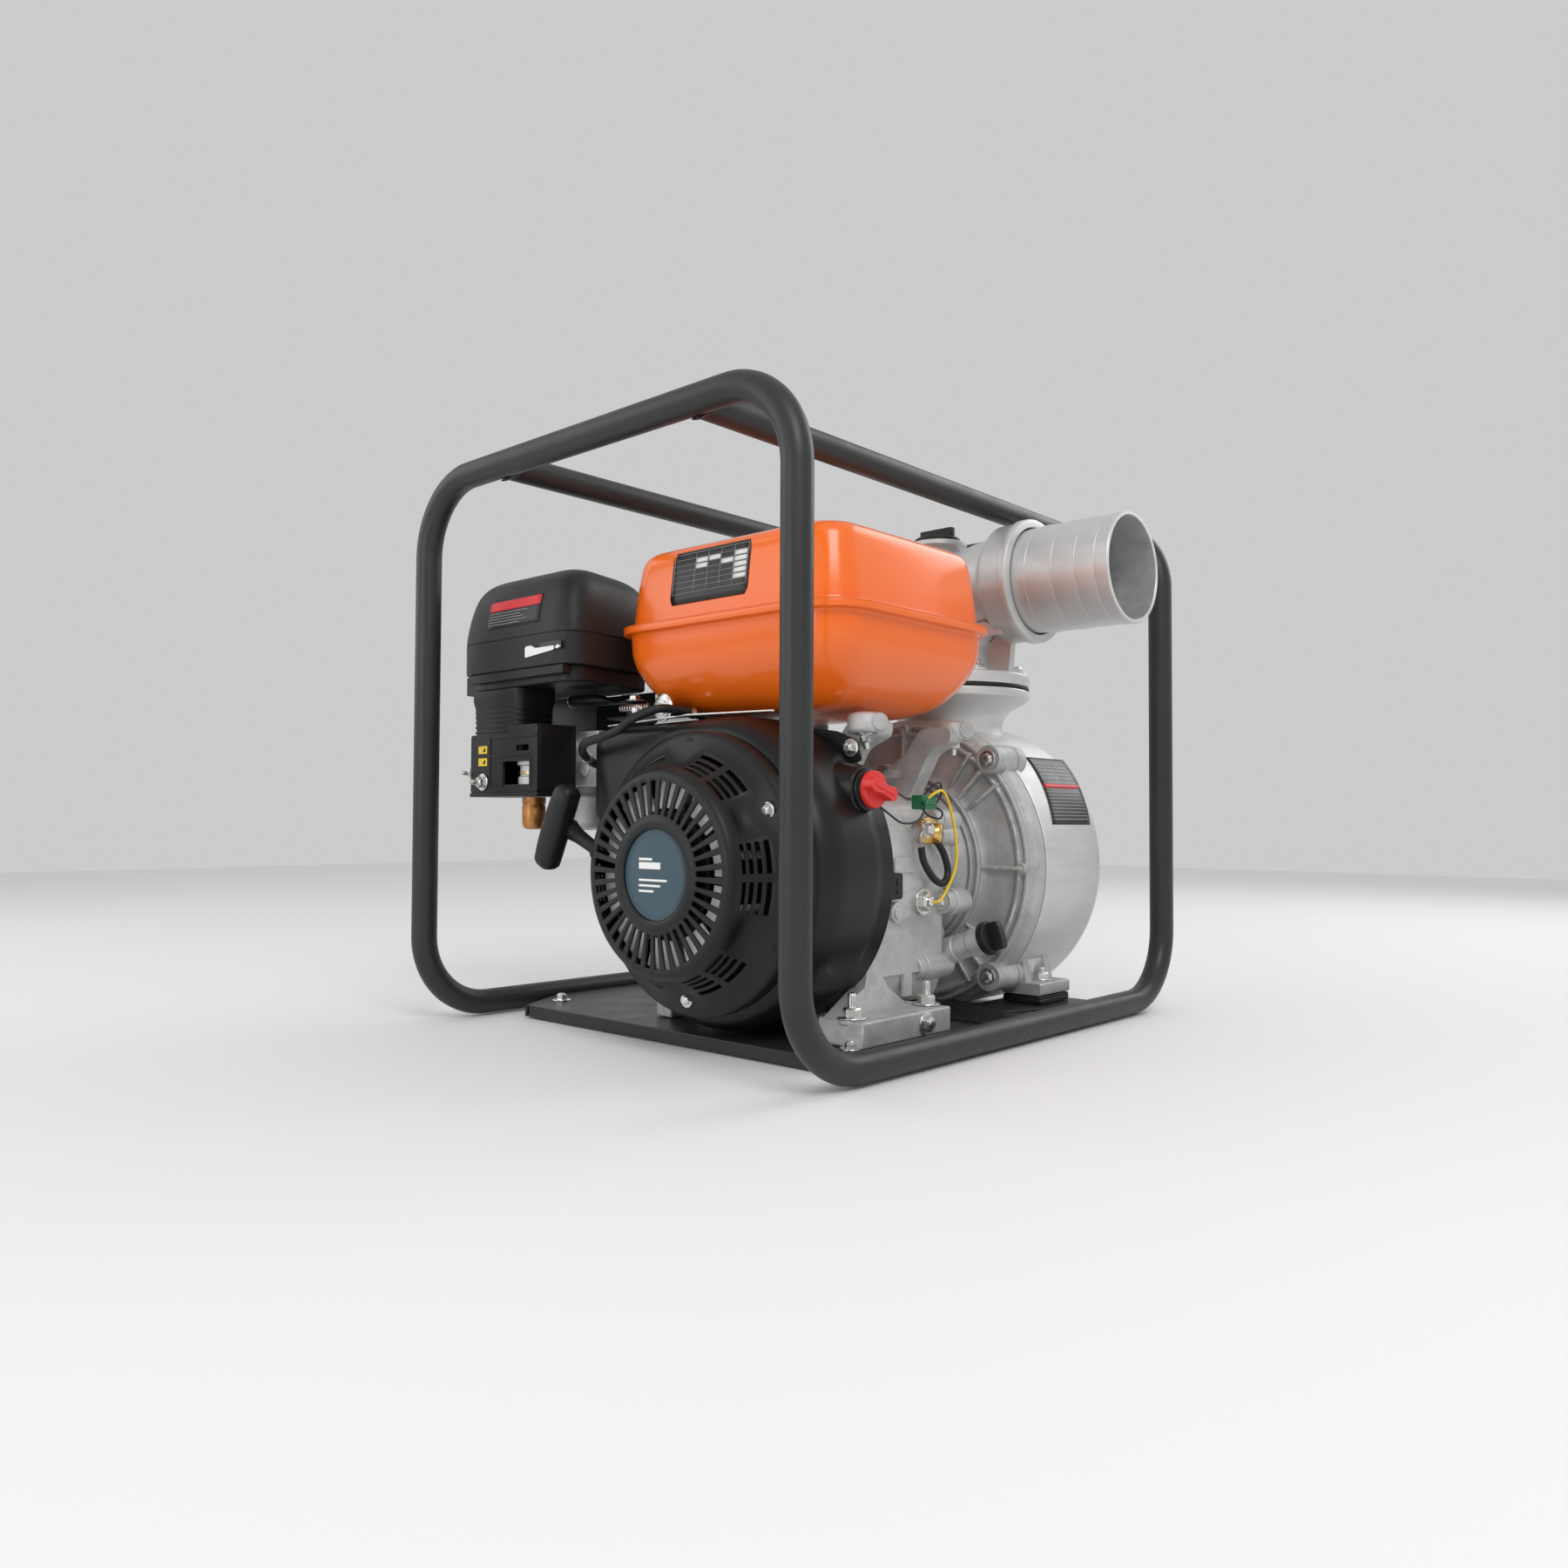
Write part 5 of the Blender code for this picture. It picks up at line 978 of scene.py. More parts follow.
def build_brackets():
    for name, y, ear_y, ear_x in (("tank_bracket_front", -0.114, -0.121, 0.1660),
                                  ("tank_bracket_rear", -0.008, 0.004, 0.1700)):
        arm = Shape()
        outline = [(0.088, 0.2330), (0.1046, 0.2330), (0.1340, 0.2152), (0.150, 0.244), (0.158, 0.258),
                   (0.182, 0.268), (0.182, 0.281), (0.148, 0.281), (0.128, 0.256)]
        arm.prism(rounded(outline, 0.006, 4), "Y", y - 0.0095, y + 0.0095)
        arm.lathe([(0, 0.2700), (0.0150, 0.2700), (0.0165, 0.2725), (0.0165, 0.2830), (0.0145, 0.2865),
                   (0.0090, 0.2880), (0, 0.2880)], (ear_x, ear_y, 0), (0, 0, 1), 48)
        arm.rod((ear_x + 0.018, ear_y - 0.004, 0.279), (ear_x + 0.004, ear_y + 0.004, 0.279), 0.0075)
        fit(arm.done("skin_" + name, "cast_rough", bevel=0.0020, segments=3),
            replaces=(name,))
        bolt((ear_x, ear_y, 0.2700), (0, 0, -1), 0.0105, 0.0065, 0.0098, stud=0.0065, stem="tank_nut")
    clip = Shape().prism(rounded([(0.118, 0.276), (0.146, 0.272), (0.166, 0.262), (0.172, 0.246),
                                  (0.160, 0.244),
                                  (0.146, 0.254), (0.120, 0.262)], 0.005, 4), "Y", -0.1345, -0.1325)
    fit(clip.done("tank_clip", "black_paint", bevel=0.0006))
    bolt((0.160, -0.1345, 0.2570), (0, -1, 0), 0.0095, 0.0045, 0.0080, stem="clip_bolt")


# ---- intake -------------------------------------------------------------------------------
def cleaner_ring(inset, z, count=12):
    x0, x1, y0, y1, slant = -0.2510, -0.0655, -0.2553, -0.1202, 0.0225
    corners = [(x1 - inset, y0 + inset), (x1 - slant - inset, y1 - inset), (x0 + inset, y1 - inset),
               (x0 + inset, y0 + inset)]
    return [Vector((x, y, z)) for x, y in rounded(corners, 0.032 - inset * 0.25, count)]


def build_cleaner():
    table = [(0.0018, 0.3375), (0.0002, 0.3382), (0.0, 0.3420), (0.0, 0.3560), (0.0, 0.3668)]
    upper = [(0.0, 0.3682), (0.0006, 0.3760), (0.0026, 0.3900), (0.0052, 0.4020), (0.0086, 0.4130),
             (0.0140, 0.4220), (0.0220, 0.4285), (0.0330, 0.4325), (0.0460, 0.4346), (0.0570, 0.4352)]
    rings = [cleaner_ring(i, z) for i, z in table]
    rings += [cleaner_ring(0.0009, 0.3671), cleaner_ring(0.0009, 0.3679)]
    rings += [cleaner_ring(i, z) for i, z in refine(upper, 3)]
    cover = Shape().skin(rings, True, True).done("skin_air_cleaner_cover", "cleaner_plastic", limit=50)
    fit(cover, replaces=("air_cleaner_cover",))
    base = Shape().skin([cleaner_ring(0.0090, 0.3225), cleaner_ring(0.0078, 0.3235),
                         cleaner_ring(0.0078, 0.3374)],
                        True, True)
    base.box((-0.2505, -0.240, 0.3195), (-0.2485, -0.1300, 0.3380))
    base.box((-0.2505, -0.2425, 0.3195), (-0.2280, -0.2405, 0.3380))
    base.box((-0.2280, -0.2535, 0.3290), (-0.0800, -0.2450, 0.3374))
    fit(base.done("skin_air_cleaner_base", "black_plastic", bevel=0.0012),
        replaces=("air_cleaner_base",))

    def front(u, v):
        pairs = refine([(i, z) for i, z in table] + upper, 4)
        y = -0.2553
        for a, b in zip(pairs, pairs[1:]):
            if a[1] <= v <= b[1] and b[1] > a[1]:
                y = -0.2553 + a[0] + (b[0] - a[0]) * (v - a[1]) / (b[1] - a[1])
        return Vector((u, y, v)), Vector((0, -1, 0.05)).normalized()

    sticker("cleaner_label", "label_black", -0.1985, -0.1150, 0.3795, 0.4065, front, 0.0004)
    sticker("cleaner_label_band", "label_red", -0.1975, -0.1160, 0.3965, 0.4058, front, 0.0004, 0.0008)
    for k in range(5):
        z = 0.3825 + 0.0028 * k
        sticker(f"cleaner_label_rule_{k}", "label_grey", -0.1960, -0.1460 + 0.006 * ((k * 2) % 3), z,
                z + 0.0006,
                front, 0.0001, 0.0008, 4, 1)
    sticker("lever_mark_plate", "label_black", -0.1130, -0.0790, 0.3510, 0.3590, front, 0.0004)
    icon = Shape()
    outline = [(-0.1340, 0.3468), (-0.1340, 0.3560), (-0.1325, 0.3572), (-0.1250, 0.3576), (-0.1180, 0.3545),
               (-0.0900, 0.3545), (-0.0900, 0.3508), (-0.1200, 0.3480)]
    icon.prism(rounded(outline, 0.0016, 4), "Y", -0.2560, -0.2557)
    icon.prism([(-0.0885, 0.3527), (-0.0845, 0.3550), (-0.0795, 0.3530), (-0.0850, 0.3512)], "Y", -0.2562,
               -0.2559)
    fit(icon.done("lever_mark", "label_white", flat=True))
    # breather duct with its ribs, and the linkage cover below it
    duct = Shape()
    duct.skin([[Vector((x, y, z)) for x, y in round_rect((-0.199, -0.2215), hx, hy, 0.008, 5)]
               for hx, hy, z in ((0.0400, 0.0240, 0.3224), (0.0400, 0.0240, 0.3120),
                                 (0.0385, 0.0225, 0.3050),
                                 (0.0375, 0.0215, 0.2760), (0.0375, 0.0215, 0.2560))], True, True)
    for k in range(6):
        z = 0.3005 - 0.0050 * k
        duct.skin([[Vector((x, y, z + dz)) for x,
                    y in round_rect((-0.199, -0.2215), 0.0375 + g, 0.0215 + g, 0.008, 5)]
                   for g, dz in ((0.0, 0.0), (0.0013, 0.0004), (0.0013, 0.0016), (0.0, 0.0020))], False,
                  False)
    fit(duct.done("skin_intake_elbow", "black_plastic", bevel=0.0008),
        replaces=("intake_elbow",))
    wall = [(-0.2390, 0.2215), (-0.1290, 0.2215), (-0.1290, 0.2860), (-0.1760, 0.2860), (-0.1760, 0.2790),
            (-0.2390, 0.2790)]
    window = rounded([(-0.1840, 0.2290), (-0.1410, 0.2290), (-0.1410, 0.2512), (-0.1840, 0.2512)], 0.002, 3)
    slit = rounded([(-0.1630, 0.2612), (-0.1430, 0.2612), (-0.1430, 0.2668), (-0.1630, 0.2668)], 0.001, 3)
    fit(flat("linkage_front", [rounded(wall, 0.003, 4), window, slit], "Y", -0.2442, -0.2412,
             "black_plastic",
             0.0004))
    cover = Shape()
    cover.box((-0.2388, -0.2410, 0.2215), (-0.2350, -0.1985, 0.2790))
    cover.box((-0.1330, -0.2410, 0.2215), (-0.1292, -0.1985, 0.2860))
    cover.box((-0.2350, -0.2010, 0.2215), (-0.1330, -0.1985, 0.2860))
    cover.box((-0.2390, -0.2452, 0.2175), (-0.1280, -0.1980, 0.2215))
    cover.box((-0.1760, -0.2410, 0.2825), (-0.1330, -0.2010, 0.2858))
    for x0, x1, z0, z1 in ((-0.1870, -0.1380, 0.2512, 0.2540), (-0.1870, -0.1840, 0.2270, 0.2512),
                           (-0.1410, -0.1380, 0.2270, 0.2512), (-0.2050, -0.1410, 0.2562, 0.2586),
                           (-0.2070, -0.2050, 0.2290, 0.2780), (-0.2050, -0.1300, 0.2740, 0.2764)):
        cover.box((x0, -0.2452, z0), (x1, -0.2440, z1))
    cover.box((-0.2350, -0.1520, 0.2860), (-0.1560, -0.1490, 0.3220))
    fit(cover.done("linkage_cover", "black_plastic", bevel=0.0010))
    valve = Shape().lathe([(0, 0.2218), (0.0170, 0.2218), (0.0170, 0.2360), (0.0150, 0.2375),
                           (0.0150, 0.2470),
                           (0.0180, 0.2480), (0.0180, 0.2540), (0, 0.2560)], (-0.1600, -0.2225, 0),
                          (0, 0, 1), 40)
    fit(valve.done("fuel_valve_body", "cast_aluminium", bevel=0.0006))
    collar = Shape().lathe([(0.0151, 0.2395), (0.0166, 0.2395), (0.0166, 0.2412), (0.0151, 0.2412)],
                           (-0.1600, -0.2225, 0), (0, 0, 1), 40, closed=True)
    fit(collar.done("fuel_valve_collar", "brass"))
    for k, z in enumerate((0.2600, 0.2480)):
        mark = Shape().box((-0.2250, -0.2447, z), (-0.2105, -0.2442, z + 0.0076))
        fit(mark.done(f"lever_sticker_{k}", "label_yellow", flat=True))
        dark = Shape().prism([(-0.2180, z + 0.0020), (-0.2130, z + 0.0020), (-0.2130, z + 0.0056),
                              (-0.2150, z + 0.0056), (-0.2165, z + 0.0036)], "Y", -0.2450, -0.2446)
        fit(dark.done(f"lever_sticker_mark_{k}", "label_black", flat=True))
    bolt((-0.2445, -0.2380, 0.2415), (0, -1, 0), 0.0085, 0.0050, 0.0072, stud=0.0080, stem="carb_stud")
    bolt((-0.2170, -0.2444, 0.2320), (0, -1, 0), 0.0095, 0.0055, 0.0085, stud=0.0085, stem="carb_stud")
    cup = Shape().lathe([(0, 0.1862), (0.0070, 0.1862), (0.0095, 0.1875), (0.0108, 0.1900), (0.0112, 0.1960),
                         (0.0112, 0.2080), (0.0106, 0.2090), (0.0106, 0.2105), (0.0113, 0.2115),
                         (0.0113, 0.2168),
                         (0, 0.2168)], (-0.157, -0.227, 0), (0, 0, 1), 48)
    fit(cup.done("skin_fuel_strainer_cup", "bronze"), replaces=("fuel_strainer_cup",))
    carb = Shape()
    carb.box((-0.188, -0.186, 0.228), (-0.112, -0.142, 0.282))
    carb.rod((-0.150, -0.1955, 0.262), (-0.150, -0.160, 0.262), 0.0185)
    carb.rod((-0.118, -0.150, 0.247), (-0.118, -0.1168, 0.247), 0.0188)
    carb.lathe([(0, 0.1852), (0.0100, 0.1852), (0.0215, 0.1880), (0.0255, 0.1930), (0.0262, 0.2130),
                (0.0288, 0.2140),
                (0.0288, 0.2180), (0.0220, 0.2220), (0.0220, 0.2300), (0, 0.2300)], (-0.158, -0.160, 0),
               (0, 0, 1), 48)
    carb.lathe([(0, 0.1850), (0.0060, 0.1850), (0.0060, 0.1880), (0, 0.1880)], (-0.158, -0.160, 0),
               (0, 0, 1), 6)
    carb.rod((-0.172, -0.190, 0.244), (-0.172, -0.180, 0.244), 0.006)
    carb.rod((-0.128, -0.190, 0.244), (-0.128, -0.180, 0.244), 0.006)
    fit(carb.done("skin_carburetor", "cast_aluminium", bevel=0.0014, segments=3),
        replaces=("carburetor",))
    for name, z in (("choke_lever", 0.274), ("fuel_valve_lever", 0.252)):
        lever = Shape().rod((-0.2399, -0.203, z), (-0.2478, -0.203, z), 0.0054)
        lever.prism(rounded([(-0.2300, z - 0.0030), (-0.2050, z - 0.0034), (-0.2050, z + 0.0034),
                             (-0.2300, z + 0.0030)],
                            0.0015, 3), "X", -0.2478, -0.2450)
        lever.rod((-0.2478, -0.2270, z), (-0.2430, -0.2270, z), 0.0030)
        fit(lever.done("skin_" + name, "black_plastic", bevel=0.0006), name,
            replaces=(name,))


def build_controls():
    pivot = Vector((-0.068, -0.178, 0.3060))
    tip = Vector((-0.150, -0.1885, 0.3060))
    way = (tip - pivot).normalized()
    side = Vector((way.y, -way.x, 0))
    lever = Shape()
    rings = []
    for t in range(0, 25):
        d = 0.012 + (0.0815 - 0.012) * t / 24
        blend = min(1.0, max(0.0, (d - 0.020) / 0.026))
        ring = []
        for i in range(13):
            a = math.radians(-150 + 300 * i / 12)
            flat_y, flat_z = -0.0075 + 0.015 * i / 12, 0.0
            round_y, round_z = 0.0058 * math.sin(a), 0.0045 + 0.0052 - 0.0056 * math.cos(a) - 0.0045
            u = flat_y * (1 - blend) + round_y * blend
            w = flat_z * (1 - blend) + (round_z) * blend
            ring.append(pivot + way * d + side * u + Vector((0, 0, 0.0005 + w)))
        rings.append(ring)
    lever.skin(rings, False, False, closed=False)
    lever = lever.done("skin_throttle_lever", "black_paint", limit=50)
    wall = lever.modifiers.new("wall", "SOLIDIFY")
    wall.thickness = 0.0012
    wall.offset = 0
    fit(lever, "throttle_lever", replaces=("throttle_lever",))
    edge_line = [rings[-1][i] + way * 0.0002 for i in range(13)]
    fit(tube("throttle_edge", edge_line, 0.0007, "zinc", 2), "throttle_lever")
    root = Shape().prism(rounded([(-0.0120, -0.0090), (0.0140, -0.0090), (0.0140, 0.0090),
                                  (-0.0120, 0.0090)], 0.006, 5),
                         "Z", 0.3060, 0.3078, Matrix.Translation((pivot.x, pivot.y, 0))
                         @ Matrix.Rotation(math.atan2(way.y, way.x), 4, "Z"))
    fit(root.done("throttle_root", "black_paint", bevel=0.0004), "throttle_lever")
    bolt((pivot.x, pivot.y, 0.3078), (0, 0, 1), 0.0095, 0.0045, 0.0090, stem="throttle_nut",
         body="throttle_lever",
         sink=0.0008)
    bracket = Shape()
    bracket.prism(rounded([(-0.092, -0.1935), (0.000, -0.1935), (0.000, -0.162), (-0.092, -0.162)], 0.006,
                          4), "Z",
                  0.2905, 0.2925)
    bracket.box((-0.060, -0.1935, 0.2840), (-0.020, -0.1915, 0.2915))
    bracket.box((-0.022, -0.1930, 0.2905), (-0.020, -0.165, 0.3040))
    bracket.box((-0.050, -0.1930, 0.2905), (-0.048, -0.175, 0.3010))
    bracket.rod((pivot.x, pivot.y, 0.2915), (pivot.x, pivot.y, 0.3054), 0.0070)
    bracket.box((-0.1780, -0.1340, 0.2860), (-0.0900, -0.1315, 0.3215))
    bracket.box((-0.1000, -0.1340, 0.2905), (-0.0860, -0.1620, 0.2925))
    fit(bracket.done("skin_control_bracket", "black_paint", bevel=0.0005),
        replaces=("control_bracket",))
    bolt((-0.0450, -0.1935, 0.2965), (0, -1, 0), 0.0075, 0.0035, 0.0062, stem="bracket_bolt", sink=0.002)
    wheel = Shape().lathe([(0.0035, 0.0), (0.0105, 0.0), (0.0125, 0.0010), (0.0125, 0.0026),
                           (0.0105, 0.0036),
                           (0.0035, 0.0036)], (-0.0050, -0.2000, 0.2965), (0, 1, 0), 48, closed=True)
    fit(wheel.done("governor_washer", "zinc"))
    bolt((-0.0050, -0.2000, 0.2965), (0, -1, 0), 0.0080, 0.0040, 0.0070, stem="governor_bolt", sink=0.006)
    fit(tube("governor_rod", [Vector((-0.079, -0.2000, 0.2835)), Vector((0.030, -0.2000, 0.2880)),
                              Vector((0.131, -0.2000, 0.2860))], 0.0011, "zinc", 3))
    spring = []
    for k in range(140):
        a = math.tau * k / 12
        spring.append(Vector((-0.066 + 0.040 * k / 140, -0.1965 + 0.0026 * math.cos(a),
                              0.2990 + 0.0026 * math.sin(a))))
    fit(tube("governor_spring", spring, 0.00045, "zinc", 2))
    route = smooth_route([(-0.1060, -0.1880, 0.2480), (-0.100, -0.2020, 0.2500), (-0.092, -0.2200, 0.2580),
                          (-0.076, -0.2300, 0.2655), (-0.050, -0.2320, 0.2700), (-0.026, -0.2320, 0.2760),
                          (-0.010, -0.2290, 0.2850), (0.006, -0.2150, 0.2935), (0.012, -0.194, 0.2935),
                          (0.020, -0.170, 0.2890)], 10)
    fit(tube("skin_fuel_hose", route, 0.0040, "rubber", 5), replaces=("fuel_hose",))
    for at, nxt in ((14, 17), (len(route) - 6, len(route) - 4)):
        a, b = route[at], route[nxt]
        clip = Shape().lathe([(0.0041, -0.0022), (0.0050, -0.0022), (0.0050, 0.0022), (0.0041, 0.0022)],
                             a, b - a, 28,
                             closed=True)
        fit(clip.done(numbered("hose_clip"), "zinc"))


def build_exhaust():
    body = Shape()
    rings = []
    for inset, y in ((0.012, -0.0520), (0.004, -0.0505), (0.0, -0.0460), (0.0, 0.0720), (0.004, 0.0765),
                     (0.012, 0.0780)):
        rings.append([Vector((x, y, z)) for x,
                      z in round_rect((-0.1585, 0.3355), 0.0665 - inset, 0.0325 - inset,
                                      0.018 - inset * 0.4, 6)])
    body.skin(rings, True, True)
    rim = [[Vector((x, y, z)) for x, z in round_rect((-0.1585, 0.3355), 0.0665 + g, 0.0325 + g, 0.018, 6)]
           for g, y in ((-0.001, 0.008), (0.0025, 0.0085), (0.0025, 0.0115), (-0.001, 0.012))]
    body.skin(rim, False, False)
    body.lathe([(0.0090, 0.070), (0.0110, 0.070), (0.0110, 0.1048), (0.0090, 0.1048)], (-0.190, 0, 0.336),
               (0, 1, 0), 36,
               closed=True)
    port = along(0.188)
    route = bent([(port.x, -0.0040, port.z), (port.x, 0.032, port.z), (-0.135, 0.032, 0.330)], 0.018, 10)
    fit(body.done("skin_muffler", "steel", limit=40), replaces=("muffler",))
    fit(tube("exhaust_pipe", route, 0.0128, "steel", 6))
    guard = Shape()
    x0, x1, z0, z1 = -0.2325, -0.0850, 0.3185, 0.3776
    outline = [(x0, z0)] + arc((x0 + 0.012, z1 - 0.012), 0.012, 180, 90,
                               6) + arc((x1 - 0.012, z1 - 0.012), 0.012, 90, 0, 6)
    outline += [(x1, z0)]
    rows = []
    for k in range(28):
        y = -0.0555 + (0.0795 + 0.0555) * k / 27
        rows.append([Vector((x, y, z)) for x, z in outline])
    bm = guard.bm
    grid = [[bm.verts.new(p) for p in row] for row in rows]
    for j in range(27):
        for i in range(len(outline) - 1):
            wide = (Vector(outline[i]) - Vector(outline[i + 1])).length > 0.02
            if wide and j % 3 == 1 and 1 < j < 26 and i == 7:
                continue
            bm.faces.new((grid[j][i], grid[j][i + 1], grid[j + 1][i + 1], grid[j + 1][i]))
    shell = guard.done("skin_muffler_guard", "steel", limit=40)
    wall = shell.modifiers.new("wall", "SOLIDIFY")
    wall.thickness = 0.0012
    wall.offset = 0
    fit(shell, replaces=("muffler_guard",))


# ---- pump --------------------------------------------------------------------------------
BOSSES = (45, 135, 225, 315)


def build_pump():
    adapter = Shape()
    adapter.lathe([(0.020, 0.0356), (0.0635, 0.0356), (0.0645, 0.0370), (0.0645, 0.0460), (0.0720, 0.0540),
                   (0.0800, 0.0590), (0.0830, 0.0640), (0.0840, 0.0660), (0.0840, 0.0640), (0.0862, 0.0632),
                   (0.0880, 0.0645), (0.0882, 0.0680), (0.0900, 0.0690), (0.0905, 0.0668), (0.0925, 0.0660),
                   (0.0942, 0.0672), (0.0946, 0.0720), (0.1000, 0.0752), (0.1280, 0.0768), (0.1310, 0.0745),
                   (0.1335, 0.0738), (0.1352, 0.0748), (0.1356, 0.0775), (0.1378, 0.0778), (0.1386, 0.0755),
                   (0.1412, 0.0748), (0.1432, 0.0760), (0.1440, 0.0800), (0.1478, 0.0820), (0.1490, 0.0835),
                   (0.1490, 0.0990), (0.0245, 0.0990), (0.0245, 0.0860), (0.020, 0.0860)],
                  (CX, 0, CZ), (0, 1, 0), 160, closed=True)
    for angle in range(0, 360, 45):
        spin = Matrix.Translation((CX, 0, CZ)) @ Matrix.Rotation(math.radians(-angle), 4, "Y")
        adapter.box((0.0700, 0.0680 if angle % 90 else 0.0690, -0.0018), (0.1400, 0.0800, 0.0018), spin)
        if angle % 90 == 0:
            spot = polar(0.1385, angle, 0)
            adapter.rod((spot.x, 0.0700, spot.z), (spot.x, 0.0800, spot.z), 0.0052, 0.0060, sides=24)
    for angle in BOSSES:
        spot = polar(0.1480, angle, 0)
        adapter.rod((spot.x, 0.0660, spot.z), (spot.x, 0.0990, spot.z), 0.0138, 0.0150)
        spin = Matrix.Translation((CX, 0, CZ)) @ Matrix.Rotation(math.radians(-angle), 4, "Y")
        for off in (-9, 9):
            lean = spin @ Matrix.Rotation(math.radians(off), 4, "Y")
            adapter.box((0.090, 0.0700, -0.0015), (0.1380, 0.0790, 0.0015), lean)
    fit(adapter.done("skin_pump_adapter", "cast_rough", bevel=0.0011, segments=2, angle=40),
        replaces=("pump_adapter",))
    for angle in BOSSES:
        spot = polar(0.1480, angle, 0.0660)
        bolt(spot, (0, -1, 0), 0.0105, 0.0018, 0.0088, stem="adapter_bolt", sink=0.006)
    casing = Shape()
    profile = [(0.020, 0.1002), (0.1488, 0.1002), (0.1496, 0.1010), (0.1496, 0.1062), (0.1490, 0.1072),
               (0.1474, 0.1080)]
    profile += [(0.1472, 0.1250)]
    profile += arc((0.1170, 0.2050), 0.0300, 0, 90, 14)
    profile += [(0.0600, 0.2350), (0, 0.2350), (0, 0.2275), (0.0600, 0.2275)]
    profile += arc((0.1165, 0.2045), 0.0230, 90, 0, 14)
    profile += [(0.1395, 0.1250), (0.1395, 0.1040), (0.020, 0.1040)]
    casing.lathe(profile, (CX, 0, CZ), (0, 1, 0), 192, closed=True)
    port = Shape().rod((CX, 0.2200, SUCTION_Z), (CX, 0.2400, SUCTION_Z), 0.0458, sides=96)
    casing = hollow(casing.done("skin_pump_casing", "cast_satin", limit=28), port.done("port_cut", "steel"))
    fit(casing, replaces=("pump_casing",))
    fittings = Shape()
    for angle in BOSSES:
        spot = polar(0.1480, angle, 0)
        fittings.rod((spot.x, 0.1003, spot.z), (spot.x, 0.1160, spot.z), 0.0148, 0.0138)
    for side in (1, -1):
        x = CX + side * 0.117
        fittings.prism(rounded([(x - 0.0215, 0.0268), (x + 0.0215, 0.0268), (x + 0.0215, 0.0385),
                                (x - 0.0215, 0.0385)],
                               0.002, 3), "Y", 0.1065, 0.1635)
        inner = x - side * 0.006
        fittings.prism([(inner - 0.012, 0.030), (inner + 0.012, 0.030), (inner + 0.006, 0.060),
                        (inner - side * 0.004, 0.095),
                        (inner - side * 0.020, 0.080)], "Y", 0.1095, 0.1200)
        fittings.prism([(inner - 0.012, 0.030), (inner + 0.012, 0.030), (inner + 0.006, 0.060),
                        (inner - side * 0.004, 0.095),
                        (inner - side * 0.020, 0.080)], "Y", 0.1500, 0.1600)
        fittings.box((inner - 0.010, 0.1095, 0.030), (inner + 0.004, 0.1600, 0.066))
        bolt((x + side * 0.004, 0.1400, 0.0385), (0, 0, 1), 0.0115, 0.0060, 0.0105, stud=0.006,
             stem="pump_foot_nut")
    fit(fittings.done("pump_feet", "cast_rough", bevel=0.0020, segments=3))
    neck = Shape().lathe([(0.0450, 0.3335), (0.0820, 0.3335), (0.0835, 0.3325), (0.0835, 0.3250),
                          (0.0800, 0.3220),
                          (0.0680, 0.3160), (0.0590, 0.3080), (0.0555, 0.3000), (0.0555, 0.2920),
                          (0.0590, 0.2800),
                          (0.0640, 0.2700), (0.0450, 0.2700)], (OUTLET.x, OUTLET.y, 0), (0, 0, 1), 96,
                         closed=True)
    fit(neck.done("pump_neck", "cast_satin", bevel=0.0012))
    gasket = Shape().lathe([(0.0462, 0.3344), (0.0833, 0.3344), (0.0833, 0.3367), (0.0462, 0.3367)],
                           (OUTLET.x, OUTLET.y, 0), (0, 0, 1), 96, closed=True)
    fit(gasket.done("skin_outlet_gasket", "rubber", bevel=0.0004), replaces=("outlet_gasket",))

    def drum(u, v):
        """u runs along the crank from the label's slanted left edge, v is the angle in degrees."""
        y = u + 0.0226 * (v - 16.0) / 32.0
        normal = Vector((math.cos(math.radians(v)), 0, math.sin(math.radians(v))))
        return Vector((CX, y, CZ)) + normal * 0.1473, normal

    sticker("pump_label", "label_black", 0.1252, 0.2020, 16.5, 48.5, drum, 0.0, 0.0002, 10, 24)
    sticker("pump_label_band", "label_red", 0.1275, 0.2000, 32.3, 34.2, drum, 0.0, 0.0005, 10, 2)
    for k in range(9):
        v = 18.5 + 1.45 * k
        sticker(f"pump_label_rule_{k}", "label_grey", 0.1285, 0.1985, v, v + 0.30, drum, 0.0, 0.0005, 8, 1)
    for k in range(5):
        v = 36.2 + 2.0 * k
        sticker(f"pump_label_row_{k}", "label_grey", 0.1285, 0.1600, v, v + 0.30, drum, 0.0, 0.0005, 5, 1)
        sticker(f"pump_label_col_{k}", "label_grey", 0.1660, 0.1985, v, v + 0.30, drum, 0.0, 0.0005, 5, 1)
    plug = Shape().lathe([(0, 0.2353), (0.0132, 0.2353), (0.0134, 0.2360), (0.0134, 0.2382),
                          (0.0120, 0.2390), (0, 0.2390)],
                         (CX, 0, 0.046), (0, 1, 0), 40)
    plug.hexagon((CX, 0.2385, 0.046), (CX, 0.2488, 0.046), 0.0180)
    fit(plug.done("skin_drain_plug", "zinc", bevel=0.0004), "drain_plug", replaces=("drain_plug",))


